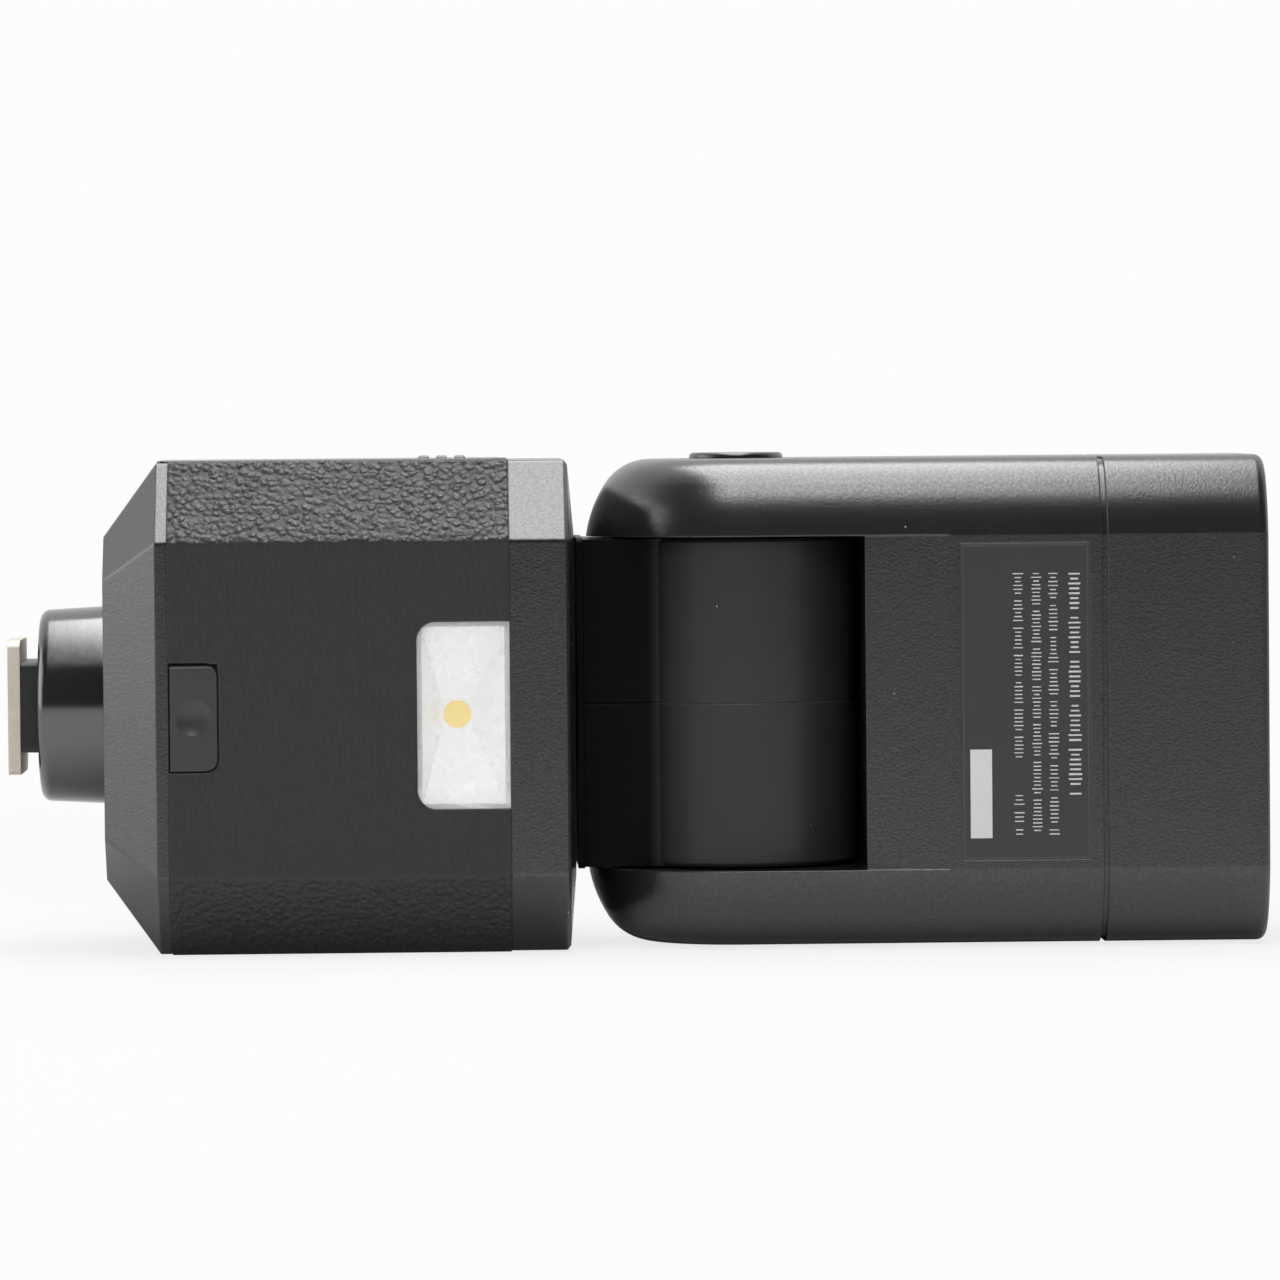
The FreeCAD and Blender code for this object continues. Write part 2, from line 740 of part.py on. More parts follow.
def knuckle_pockets():
    far = door_hinge_y + door_barrel + joint_gap
    low = door_hinge_z - door_barrel - joint_gap
    return [
        box(x - door_travel - slide_gap, x + knuckle_length + slide_gap, door_edge_y - 1, far, low, half_w + 3)
        for x in knuckle_starts()
    ]


def bay_mouth():
    return box(x_cells - bay_half, x_cells + bay_half, -cell_shift - bay_half, -cell_shift + bay_half,
               inner_w - 1, half_w + 1)


def body_knuckles():
    """Fixed barrels of the hinge, between the door's knuckles."""
    first, last = knuckle_starts()
    reach = door_travel + 2 * slide_gap
    spans = [
        (x_skin_low + slide_gap, first - reach), (first + knuckle_length + 2 * slide_gap, last - reach),
        (last + knuckle_length + 2 * slide_gap, x_door_top),
    ]
    return [rod_x(door_barrel - slide_gap, a, b, door_hinge_y, door_hinge_z) for a, b in spans]


def door_pin(grow=0.0):
    """Pin that slides with the door in the fixed barrels."""
    low = x_skin_low + slide_gap + (0 if grow else door_travel)
    return rod_x(door_pin_radius + grow, low, x_door_top, door_hinge_y, door_hinge_z)


def battery_door():
    corners = [
        V(x_door, -door_free_y, door_floor), V(x_door_top, -door_free_y, door_floor),
        V(x_door_top, door_edge_y, door_floor), V(x_door, door_edge_y, door_floor),
    ]
    plate = prism(rounded_wire(corners, [door_corner, door_corner, 0, 0]), V(0, 0, door_thick))
    pieces = [plate]
    for x in knuckle_starts():
        pieces.append(rod_x(door_barrel, x, x + knuckle_length, door_hinge_y, door_hinge_z))
        pieces.append(box(x, x + knuckle_length, door_edge_y - door_web, door_hinge_y, door_floor, door_top))
    for i in range(ridge_count):
        x = x_door_top - ridge_start + i * ridge_pitch
        ridge = box(x, x + ridge_width, -ridge_half, ridge_half, door_top - ridge_root, door_top + ridge_height)
        pieces.append(ridge.makeFillet(ridge_height * 0.8, top_edges(ridge)))
    return joined(pieces).cut(rod_x(door_pin_radius + fit_gap, x_door - 1, x_door_top + 1, door_hinge_y, door_hinge_z))


def top_edges(shape):
    high = shape.BoundBox.ZMax
    return [e for e in shape.Edges if e.BoundBox.ZMin > high - 1e-5]


def cell_centres():
    half = cell_pitch / 2
    return [(x_cells + sx * half, -cell_shift + sy * half) for sx in (-1, 1) for sy in (-1, 1)]


def cell(index):
    """One AA cell; neighbours lie the other way round."""
    x, y = cell_centres()[index]
    body = rod_z(cell_radius, z_cell_low, z_cell_top - cell_nub, x, y)
    nub = rod_z(cell_nub_radius, z_cell_top - cell_nub, z_cell_top, x, y)
    one = joined([body.makeFillet(cell_round, body.Edges[0:1] + body.Edges[2:3]), nub])
    if index in (1, 2):
        one.rotate(V(x, y, (z_cell_low + z_cell_top) / 2), V(1, 0, 0), 180)
    return one


def battery_box():
    half = bay_half + box_wall
    y0 = -cell_shift
    outer = box(x_cells - half, x_cells + half, y0 - half, y0 + half, z_box_low, inner_w - slide_gap)
    outer = outer.common(body_prism(skin + wall + slide_gap, x_rim_low, x_skin_top))
    feet = [
        rod_z(box_foot, z_box_low - main_board_gap, z_box_low, x_cells + s * foot_x, y)
        for s in (-1, 1) for y in (-foot_front, foot_back)
    ]
    outer = joined([outer] + feet)
    floor = z_box_low + box_wall
    reach = cell_pitch / 2 + contact_half + slide_gap
    cuts = [rod_z(cell_bore, floor, half_w, x, y) for x, y in cell_centres()]
    cuts.append(box(x_cells - reach, x_cells + reach, y0 - reach, y0 + reach, floor, half_w))
    return outer.cut(cuts + base_screw_rods(0))


def bridging(z0, z1, bump0, bump1):
    """Two contact strips, each joining the ends of two cells."""
    strips = []
    reach = cell_pitch / 2 + cell_nub_radius
    for side in (-1, 1):
        y = -cell_shift + side * cell_pitch / 2
        strip = box(x_cells - reach, x_cells + reach, y - contact_half, y + contact_half, z0, z1)
        bumps = [rod_z(cell_nub_radius, bump0, bump1, x_cells + s * cell_pitch / 2, y) for s in (-1, 1)]
        strips.append(joined([strip] + bumps))
    return Part.makeCompound(strips)


def cell_contacts():
    floor = z_box_low + box_wall
    return bridging(floor, floor + contact_plate, floor + contact_plate, z_cell_low)


def door_contacts():
    top = door_floor
    return bridging(top - contact_plate, top, z_cell_top + slide_gap, top - contact_plate)


# ---- body shells ------------------------------------------------------------------------------------
def base_screw_centres():
    return [(y, z) for y in (-base_screw_front, base_screw_back) for z in (-base_screw_side, base_screw_side)]


def base_screw_rods(grow):
    low = x_base + base_screw_sunk
    high = x_skin_low - box_drop + base_screw_bite
    return [rod_x(base_screw_radius + grow, low, high, y, z) for y, z in base_screw_centres()]


def base_screw_heads(low):
    high = x_base + base_screw_sunk + base_screw_head_thick
    return [rod_x(base_screw_head, low, high, y, z) for y, z in base_screw_centres()]


def base_crosses():
    half, arm = base_cross_width, base_cross_half
    x = x_base + base_screw_sunk + base_screw_head_thick / 2
    return [
        box(x_base, x, y - arm, y + arm, z - half, z + half).fuse(box(x_base, x, y - half, y + half, z - arm, z + arm))
        for y, z in base_screw_centres()
    ]


def base_screws():
    heads = base_screw_heads(x_base + base_screw_sunk)
    return [joined([h, r]).cut(c) for h, r, c in zip(heads, base_screw_rods(0), base_crosses())]


def screws():
    return Part.makeCompound(plate_screws() + base_screws())


def base_cover():
    shell = base_form(0, x_skin_low).cut(base_form(wall, x_skin_low))
    pieces = [shell, rod_x(pivot_radius, x_base - pivot_length, x_base + 0.5)]
    low = x_base + wall / 2
    pieces += [rod_x(base_post_radius, low, x_skin_low - box_drop, y, z) for y, z in base_screw_centres()]
    cuts = [rod_x(pivot_bore, x_base - pivot_length, x_base + wall), door_recess(door_swing_gap)]
    return joined(pieces).cut(cuts + base_screw_rods(0) + base_screw_heads(x_base))


def lamp_pad(grow, y0, y1):
    z = lamp_half + grow
    r = lamp_corner + grow
    shift = front_shift
    wire = plate_wire("y", y0, x_lamp - grow, x_skin_top, -z - shift, z - shift, [r, 0, 0, r])
    return prism(wire, V(0, y1 - y0, 0))


def flap_pad(grow, y0, y1):
    z, r = socket_half + grow, socket_corner + grow
    x1 = x_skin_low + socket_length + grow
    wire = plate_wire("y", y0, x_socket - grow, x1, -z - front_shift, z - front_shift, [0, r, r, 0])
    return prism(wire, V(0, y1 - y0, 0))


def socket_box(grow, y0, y1):
    x0, x1 = x_socket + socket_rim, x_skin_low + socket_length - socket_rim
    z = socket_half - 2 * socket_rim
    return pad_y(x0 - grow, x1 + grow, -z - front_shift - grow, z - front_shift + grow, y0, y1, socket_inner_corner + grow)


def front_openings():
    """Openings for the lamp, the socket and its flap, with room for the flap's hinge to turn."""
    y = -half_d
    room = flap_thick / 2 + 2 * fit_gap
    return [
        lamp_pad(0, y - 1, -inner_d + 1),
        flap_pad(flap_seam, y - 1, y + flap_thick + flap_seam),
        socket_box(0, y, -inner_d + 1),
        box(x_socket, x_skin_low + socket_length + 2 * fit_gap, y - 1, y + flap_thick / 2,
            flap_axis_z() - room, flap_axis_z() + room),
        rod_x(room, x_socket, x_skin_low + socket_length + flap_seam, y + flap_thick / 2, flap_axis_z()),
    ]


def display_pad(grow, y0, y1, radius=display_corner):
    z = display_half + grow
    return pad_y(x_display - display_length - grow, x_display + grow, -z, z, y0, y1, radius)


def key_centres():
    return [(i - (key_count - 1) / 2) * key_pitch for i in range(key_count)]


def key_pad(z, grow, y0, y1):
    half = key_width / 2 + grow
    return pad_y(x_keys - key_length - grow, x_keys + grow, z - half, z + half, y0, y1, key_corner + grow)


def switch_slot(y0, y1):
    half = switch_length / 2 - switch_stem_in + slide_gap
    side = switch_stem_half + slide_gap
    return pad_y(x_dial - half, x_dial + half + switch_travel, switch_z - side, switch_z + side, y0, y1,
                 switch_stem_corner + slide_gap)


def back_openings():
    y0, y1 = inner_d - 1, half_d + 1
    cuts = [display_pad(-display_rim, y0, y1, display_inner_corner), display_pad(0, half_d - display_thick, y1)]
    cuts += [key_pad(z, slide_gap, y0, y1) for z in key_centres()]
    cuts += [rod_y(dial_stem + slide_gap, y0, y1, x_dial), switch_slot(y0, y1)]
    return cuts


def casing_ring():
    return body_prism(skin, x_skin_low, x_skin_top).cut(body_prism(skin + wall, x_skin_low, x_skin_top))


def front_casing():
    half = casing_ring().common(box(x_skin_low, x_skin_top, -half_d, 0, -half_w, half_w))
    return half.cut(front_openings() + [door_recess(), bay_mouth()])


def rear_casing():
    half = casing_ring().common(box(x_skin_low, x_skin_top, 0, half_d, -half_w, half_w))
    half = half.cut(back_openings() + [door_recess(), bay_mouth()] + knuckle_pockets())
    return joined([half] + body_knuckles() + board_posts()).cut(door_pin(fit_gap))


def board_posts():
    """Posts that hold the key board off the back face."""
    z = panel_half - post_in_w
    return [
        rod_y(post_radius, y_board + board_thick, inner_d + wall / 4, x, s * z)
        for x in (x_skin_low + post_in_l, x_keys - key_length - post_in_l) for s in (-1, 1)
    ]


def panel_zone(y0):
    return box(x_skin_low, x_skin_top, y0, half_d + 1, -panel_half, panel_half)


def covering():
    ring = body_prism(0, x_skin_low, x_skin_top).cut(body_prism(skin, x_skin_low, x_skin_top))
    return ring.cut(front_openings() + [door_recess(), hinge_strip(), panel_zone(0)] + knuckle_pockets())


def control_panel():
    ring = body_prism(0, x_skin_low, x_skin_top).cut(body_prism(skin, x_skin_low, x_skin_top))
    return ring.common(panel_zone(0)).cut(back_openings())


def top_cover():
    shell = top_form(0, x_skin_top).cut(top_form(wall, x_skin_top))
    return shell.cut(rod_x(bush_radius, x_plateau - wall - 1, x_plateau + 1))


# ---- lamp and socket --------------------------------------------------------------------------------
def lamp_window():
    return lamp_pad(0, -half_d, -half_d + lamp_thick)


def led_centre_x():
    return x_skin_top - lamp_length / 2 - led_shift


def rectangle_y(y, x0, x1, z0, z1):
    return rounded_wire([V(x0, y, z0), V(x1, y, z0), V(x1, y, z1), V(x0, y, z1)], [0] * 4)


def lamp_reflector():
    y0 = -half_d + lamp_thick
    y1 = y0 + lamp_cup_deep
    edge = lamp_cup_edge
    outer = lamp_pad(0, y0, y1)
    x, s = led_centre_x(), front_shift
    wide = rectangle_y(y0, x_lamp + edge, x_skin_top - edge, -lamp_half - s + edge, lamp_half - s - edge)
    reach = led_radius + joint_gap
    narrow = rectangle_y(y1 - led_stand, x - reach, x + reach, -s - reach, -s + reach)
    return outer.cut([loft([wide, narrow]), rod_y(led_radius, y1 - 1, y1, x, -s)])


def lamp_led():
    y1 = -half_d + lamp_thick + lamp_cup_deep
    x, s = led_centre_x(), front_shift
    edge, half = led_board_edge, led_board_half
    board = pad_y(x_lamp + edge, x_skin_top - edge, -s - half, -s + half, y1, y1 + led_board, edge)
    return joined([board, rod_y(led_radius, y1 - led_stand, y1, x, -s)])


def flap_axis_z():
    return socket_half - front_shift - flap_thick / 2


def socket_flap():
    y0, y1 = -half_d, -half_d + flap_thick
    whole = flap_pad(0, y0, y1)
    z = flap_axis_z()
    x0, x1 = x_socket - 1, x_skin_low + socket_length + 1
    body = box(x0, x1, y0, y1, -half_w, z).fuse(rod_x(flap_thick / 2, x0, x1, (y0 + y1) / 2, z))
    flap = whole.common(body.removeSplitter())
    x = (x_socket + x_skin_low + socket_length) / 2
    ball = (dimple_radius ** 2 + dimple_deep ** 2) / (2 * dimple_deep)
    return flap.cut(Part.makeSphere(ball, V(x, y0 + dimple_deep - ball, -front_shift)))


def power_socket():
    y0 = -half_d + flap_thick + flap_seam
    y1 = -cell_shift - bay_half - box_wall - socket_behind
    x, s = (x_socket + x_skin_low + socket_length) / 2, -front_shift
    holes = [
        rod_y(pin_hole_radius, y0 - 1, y1 - pin_hole_floor, x, s + i * pin_hole_pitch)
        for i in (-1, 0, 1)
    ]
    return socket_box(0, y0, y1).cut(holes)


# ---- back of the body -------------------------------------------------------------------------------
def display_window():
    return display_pad(0, half_d - display_thick, half_d)


def display_module():
    return display_pad(-display_rim, y_board + board_thick, half_d - display_thick, display_inner_corner)


def key(index):
    z = key_centres()[index]
    low = inner_d - slide_gap / 2
    cap = key_pad(z, 0, low, half_d + key_proud)
    cap = cap.makeFillet(key_round, edges_at_y(cap, half_d + key_proud))
    return joined([cap, key_pad(z, key_lip, low - key_lip_thick, low)])


def edges_at_y(shape, y):
    return [e for e in shape.Edges if abs(e.BoundBox.YMin - y) < 1e-5 and abs(e.BoundBox.YMax - y) < 1e-5]


def control_dial():
    low = half_d + joint_gap
    ring = rod_y(dial_radius, low, half_d + dial_proud, x_dial)
    ring = ring.makeFillet(dial_round, edges_at_y(ring, half_d + dial_proud))
    stem = rod_y(dial_stem, inner_d - dial_sunk, low, x_dial)
    grips = []
    for i in range(dial_grips):
        turn = 2 * math.pi * i / dial_grips
        x = x_dial + (dial_radius + grip_out) * math.cos(turn)
        z = (dial_radius + grip_out) * math.sin(turn)
        grips.append(rod_y(grip_radius, low, half_d + dial_proud, x, z))
    return joined([ring, stem]).cut(grips + [rod_y(dial_bore, inner_d - 2, half_d + dial_proud, x_dial)])


def set_key():
    cap = rod_y(dial_bore - slide_gap, inner_d - set_sunk, half_d + set_proud, x_dial)
    return cap.makeFillet(set_round, edges_at_y(cap, half_d + set_proud))


def power_switch():
    low = half_d + slide_gap
    x0, x1 = x_dial - switch_length / 2, x_dial + switch_length / 2
    top, under = half_d + switch_proud, inner_d - slide_gap
    side = switch_width / 2
    knob = pad_y(x0, x1, switch_z - side, switch_z + side, low, top, switch_corner)
    knob = knob.makeFillet(switch_round, edges_at_y(knob, top))
    side = switch_stem_half
    stem = pad_y(x0 + switch_stem_in, x1 - switch_stem_in, switch_z - side, switch_z + side, under, low,
                 switch_stem_corner)
    side = switch_plate_half
    plate = pad_y(x0, x1, switch_z - side, switch_z + side, under - switch_plate_thick, under,
                  switch_plate_corner)
    return joined([knob, stem, plate])


def key_board():
    board = box(x_skin_low + board_edge, x_display - board_edge, y_board, y_board + board_thick, -panel_half, panel_half)
    top = inner_d - slide_gap / 2 - key_lip_thick - key_travel - slide_gap
    domes = [rod_y(dome_radius, y_board + board_thick, top, x_keys - key_length / 2, z) for z in key_centres()]
    domes.append(rod_y(dome_radius, y_board + board_thick, inner_d - set_sunk - key_travel - slide_gap, x_dial))
    return joined([board] + domes)


def main_board():
    z1 = z_box_low - main_board_gap
    y0, x1 = -main_board_half, x_skin_top - coil_end
    board = box(x_skin_low + board_edge, x_skin_top - board_edge, y0, main_board_half, z1 - main_board_thick, z1)
    chips = [
        box(x_cells + x, x_cells + x + chip_size, y, y + chip_size, z1, z1 + chip_thick)
        for x in chip_x for y in chip_y
    ]
    coil = box(x_box_top + board_edge, x1, y0, y0 + coil_width, z1, z1 + coil_height)
    return joined([board, coil] + chips)


def main_capacitor():
    half = main_cap_length / 2
    can = rod_z(main_cap_radius, -half, half, x_cap, main_cap_y)
    return can.makeFillet(can_round, [e for e in can.Edges if len(e.Vertexes) == 1])


# ---- swivel and neck --------------------------------------------------------------------------------
def swivel_bush():
    top = x_plateau
    ring = rod_x(bush_radius, top - wall, top)
    lip = rod_x(ring_radius, top - wall - ring_thick, top - wall)
    return joined([ring, lip]).cut(rod_x(hub_radius + fit_gap, top - wall - ring_thick, top))


def swivel_ring():
    top = x_plateau - wall - ring_thick - joint_gap
    return rod_x(ring_radius, top - ring_thick, top).cut(rod_x(hub_radius, top - ring_thick, top))


def turntable():
    y, z = neck_thick + table_lip, neck_half + table_lip
    table = pad_x(-y, y, -z, z, x_table, x_neck, table_corner)
    hub = rod_x(hub_radius, x_plateau - hub_depth, x_neck)
    return joined([table, hub]).cut(rod_x(hub_bore, x_plateau - hub_depth, x_neck))


def neck_form(shrink, z_end):
    block = box(x_neck, 0, -neck_thick + shrink, neck_thick - shrink, 0, z_end)
    return joined([block, rod_z(barrel_radius - shrink, 0, z_end)])


def neck_right():
    outer = neck_form(0, neck_half)
    rim = [e for e in outer.Edges if e.BoundBox.ZMin > neck_half - 1e-5 and e.Curve.TypeId == "Part::GeomCircle"]
    outer = outer.makeChamfer(barrel_bevel, rim)
    seam = neck_form(-neck_seam, neck_seam).cut(neck_form(neck_seam, neck_seam))
    shell = outer.cut([seam, neck_form(neck_wall, neck_half - neck_wall)])
    boss = rod_z(axle_radius + neck_wall, neck_half - 3 * neck_wall, neck_half - neck_wall)
    return joined([shell, boss]).cut(rod_z(axle_radius, 0, neck_half))


def neck_left():
    return mirrored(neck_right())


def mirrored(shape):
    return shape.mirror(V(0, 0, 0), V(0, 0, 1))


def tilt_axle():
    return rod_z(axle_radius, -axle_end, axle_end).cut(rod_z(axle_bore, -axle_end, axle_end))


# ---- head -------------------------------------------------------------------------------------------
def head_shell():
    """The whole head behind the bezel: outer walls, the slot's lining and the bosses on the axle."""
    outer = head_form(0, x_bezel)
    walls = outer.cut(head_form(wall, x_bezel))
    reach = neck_half + joint_gap
    lining = head_slot(wall, reach + wall).fuse(pocket_wedge(wall)).common(outer)
    bosses = [rod_z(boss_radius, s * (axle_end if s < 0 else reach), s * (reach if s < 0 else axle_end))
              for s in (-1, 1)]
    whole = joined([walls, lining] + bosses)
    deep = -head_half_t
    label = box(label_start, label_start + label_length, deep - 1, deep + label_thick, -label_half, label_half)
    cuts = [
        head_slot(0, reach), pocket_wedge(0), label, rod_z(axle_radius + fit_gap, -axle_end, axle_end),
        rod_z(button_radius + slide_gap, head_half_w - wall - 1, head_half_w + 1),
    ]
    return whole.cut(cuts)


def head_front_shell():
    return head_shell().common(box(-head_half_t - 1, x_bezel, -head_half_t - 1, 0, -head_half_w, head_half_w))


def head_back_shell():
    half = head_shell().common(box(-head_half_t - 1, x_bezel, 0, head_half_t + 1, -head_half_w, head_half_w))
    z0 = panel_half_w + slide_gap
    x0 = head_length - panel_recess - panel_length - 1
    rails = [box(x0, x_bezel, panel_y - rail_stand, head_half_t - wall, s * z0 - (rail_thick if s < 0 else 0),
                 s * z0 + (rail_thick if s > 0 else 0)) for s in (-1, 1)]
    return joined([half] + rails)


def label_plate():
    deep = -head_half_t
    return box(label_start, label_start + label_length, deep, deep + label_thick, -label_half, label_half)


def bezel_form():
    """Bezel's outside, its front edge rounded in a few steps."""
    straight = prism(head_section(0, x_bezel), V(bezel_length - front_round, 0, 0))
    pieces = [straight]
    for i in range(round_steps):
        a0, a1 = math.pi / 2 * i / round_steps, math.pi / 2 * (i + 1) / round_steps
        low = head_section(front_round * (1 - math.cos(a0)), head_length - front_round * (1 - math.sin(a0)))
        high = head_section(front_round * (1 - math.cos(a1)), head_length - front_round * (1 - math.sin(a1)))
        pieces.append(loft([low, high]))
    return joined(pieces)


def lens_pad(grow, x0, x1):
    return pad_x(lens_low - grow, lens_high + grow, -lens_half_w - grow, lens_half_w + grow, x0, x1, lens_corner)


def bezel():
    form = bezel_form()
    hollow = prism(head_section(wall, x_bezel), V(bezel_length - bezel_wall, 0, 0))
    groove = prism(head_section(-1, x_bezel), V(seam_wide, 0, 0)).cut(
        prism(head_section(seam_deep, x_bezel), V(seam_wide, 0, 0)))
    slot_top = card_y + card_thick + slide_gap
    z = panel_half_w + slide_gap
    panel_slot = box(head_length - bezel_wall - 1, head_length + 1, panel_y - slide_gap, slot_top, -z, z)
    notch = box(head_length - notch_deep, head_length + 1, panel_y, head_half_t + 1, -nail_notch, nail_notch)
    return form.cut([hollow, groove, lens_pad(0, head_length - bezel_wall - 1, head_length + 1), panel_slot, notch])


def fresnel_lens():
    return lens_pad(0, x_lens, x_lens + lens_thick)


def sliding_sheet(y0, thick):
    x1 = head_length - panel_recess
    z = panel_half_w
    sheet = box(x1 - panel_length, x1, y0, y0 + thick, -z, z)
    return sheet


def wide_panel():
    return sliding_sheet(panel_y, panel_thick)


def catchlight_card():
    return sliding_sheet(card_y, card_thick)


# ---- zoom drive -------------------------------------------------------------------------------------
def trough(grow, z_end):
    """U-shaped space of the reflector, open to the lens."""
    t = reflector_half_t + grow
    x0 = x_reflector_low + reflector_half_t
    straight = box(x0, x_reflector, y_lens - t, y_lens + t, -z_end, z_end)
    back = rod_z(t, -z_end, z_end, x0, y_lens).common(box(x0 - t, x0, y_lens - t, y_lens + t, -z_end, z_end))
    return joined([straight, back])


def reflector():
    w = reflector_wall
    outer = trough(w, reflector_half_w + w)
    x = x_reflector_low + tube_ahead
    tube = rod_z(tube_radius + tube_clear, -reflector_half_w - 2, reflector_half_w + 2, x, y_lens)
    return outer.cut([trough(0, reflector_half_w), tube])


def flash_tube():
    half = reflector_half_w + tube_past
    return rod_z(tube_radius, -half, half, x_reflector_low + tube_ahead, y_lens)


def zoom_carriage():
    w = reflector_wall
    z0 = reflector_half_w + w
    y0 = reflector_half_t + w
    x1 = x_reflector - carriage_in
    x0 = x1 - carriage_length
    c = carriage_wall
    frame = box(x0, x1, y_lens - y0 - c, y_lens + y0 + c, -z0 - c, z0 + c)
    frame = frame.cut(box(x0, x1, y_lens - y0, y_lens + y0, -z0, z0))
    reach = drive_z + lug_past
    half = lug_thick / 2
    lugs = [
        box(x0, x1, y_lens - half, y_lens + half, -reach, -z0 - c / 2),
        box(x0, x1, y_lens - half, y_lens + rod_offset + half, z0 + c / 2, reach),
    ]
    bores = [
        rod_x(screw_radius + slide_gap, x0, x1, y_lens, drive_z),
        rod_x(rod_radius + fit_gap, x0, x1, y_lens, -drive_z),
        rod_x(rod_radius + fit_gap, x0, x1, y_lens + rod_offset, drive_z),
        box(x0, x1, y_lens - y0, y_lens + y0, -z0, z0),
    ]
    return joined([frame] + lugs).cut(bores)


def guide_rods():
    x0, x1 = frame_start, head_length - bezel_wall
    rods = [
        rod_x(rod_radius, x0, x1, y_lens, -drive_z),
        rod_x(rod_radius, x0, x1, y_lens + rod_offset, drive_z),
    ]
    return Part.makeCompound(rods)


def lead_screw():
    """Screw between the zoom frame and the bezel, with a thin shaft from the motor."""
    x0 = frame_start + frame_thick + slide_gap
    thread = rod_x(screw_radius, x0, head_length - bezel_wall - slide_gap, y_lens, drive_z)
    return joined([thread, rod_x(screw_radius / 2, frame_start + slide_gap, x0, y_lens, drive_z)])


def zoom_frame():
    half = lug_thick / 2 + frame_rim
    z = head_half_w - wall
    plate = box(frame_start, frame_start + frame_thick, y_lens - half, y_lens + rod_offset + half, -z, z)
    bores = [
        rod_x(rod_radius, frame_start, frame_start + frame_thick, y_lens, -drive_z),
        rod_x(rod_radius, frame_start, frame_start + frame_thick, y_lens + rod_offset, drive_z),
        rod_x(screw_radius / 2 + fit_gap, frame_start, frame_start + frame_thick, y_lens, drive_z),
    ]
    return plate.cut(bores)


def zoom_motor():
    return rod_x(motor_radius, frame_start - motor_length, frame_start, y_lens, head_half_w - wall - motor_radius)


def tilt_button():
    z1 = head_half_w + button_proud
    low = head_half_w - wall - slide_gap
    cap = rod_z(button_radius, low, z1)
    cap = cap.makeFillet(button_round, top_edges(cap))
    lip = rod_z(button_radius + button_rim, low - button_lip, low)
    stem = rod_z(stem_radius, low - button_lip - stem_length, low - button_lip)
    return joined([cap, lip, stem])


# ---- export -----------------------------------------------------------------------------------------
def export(shape, name):
    whole = shape.copy()
    whole.translate(to_row)
    whole.exportStep(os.path.join(OUT, name + ".step"))


def main():
    os.makedirs(OUT, exist_ok=True)
    makers = [
        shoe_plate, shoe_block, foot_collar, lock_lever, lock_pin, sync_contact, shoe_contacts, screws,
        base_cover, front_casing, rear_casing, covering, control_panel, top_cover,
        lamp_window, lamp_reflector, lamp_led, socket_flap, power_socket,
        battery_box, cell_contacts, battery_door, door_contacts, door_pin,
        main_board, main_capacitor, key_board, display_window, display_module,
        control_dial, set_key, power_switch,
        swivel_bush, swivel_ring, turntable, neck_left, neck_right, tilt_axle,
        head_front_shell, head_back_shell, label_plate, bezel, fresnel_lens, wide_panel, catchlight_card,
        reflector, flash_tube, zoom_carriage, guide_rods, lead_screw, zoom_frame, zoom_motor, tilt_button,
    ]
    for maker in makers:
        export(maker(), maker.__name__)
    for i in range(4):
        export(cell(i), "cell_%d" % (i + 1))
    for i in range(key_count):
        export(key(i), "key_%d" % (i + 1))


main()
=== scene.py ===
import math
import bpy
from mathutils import Matrix, Vector


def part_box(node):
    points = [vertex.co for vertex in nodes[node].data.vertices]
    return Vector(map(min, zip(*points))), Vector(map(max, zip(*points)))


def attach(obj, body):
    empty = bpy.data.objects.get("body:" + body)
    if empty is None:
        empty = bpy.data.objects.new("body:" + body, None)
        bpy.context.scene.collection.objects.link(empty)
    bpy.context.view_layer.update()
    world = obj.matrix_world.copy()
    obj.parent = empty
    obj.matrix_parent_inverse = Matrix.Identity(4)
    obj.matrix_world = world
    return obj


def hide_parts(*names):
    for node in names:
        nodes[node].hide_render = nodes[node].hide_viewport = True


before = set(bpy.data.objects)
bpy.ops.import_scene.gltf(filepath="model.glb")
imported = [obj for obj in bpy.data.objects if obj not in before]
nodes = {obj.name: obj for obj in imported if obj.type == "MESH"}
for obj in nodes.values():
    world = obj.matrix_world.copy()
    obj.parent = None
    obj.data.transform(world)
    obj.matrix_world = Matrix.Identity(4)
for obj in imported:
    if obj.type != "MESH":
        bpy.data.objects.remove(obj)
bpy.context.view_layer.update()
mm = 0.001

# Axes: X runs from the shoe foot to the head, -Y is the front, Z is up; the flash lies on its side.


# small helpers for node trees
def addNode(tree, kind, **settings):
    node = tree.nodes.new(kind)
    for key, value in settings.items():
        setattr(node, key, value)
    return node


def connect(tree, source, target):
    tree.links.new(source, target)


def setOrLink(tree, socket, value):
    if isinstance(value, bpy.types.NodeSocket):
        connect(tree, value, socket)
    elif value is not None:
        socket.default_value = value


def mathNode(tree, operation, first, second=None, clamp=False):
    node = addNode(tree, "ShaderNodeMath", operation=operation, use_clamp=clamp)
    for socket, value in zip(node.inputs, (first, second)):
        setOrLink(tree, socket, value)
    return node.outputs[0]


def times(tree, first, second):
    return mathNode(tree, "MULTIPLY", first, second)


def plus(tree, first, second, clamp=False):
    return mathNode(tree, "ADD", first, second, clamp)


def oneMinus(tree, value):
    return mathNode(tree, "SUBTRACT", 1.0, value)


def aboutHalf(tree, value):
    # noise lies round 0.5, so this puts it round 0
    return mathNode(tree, "SUBTRACT", value, 0.5)


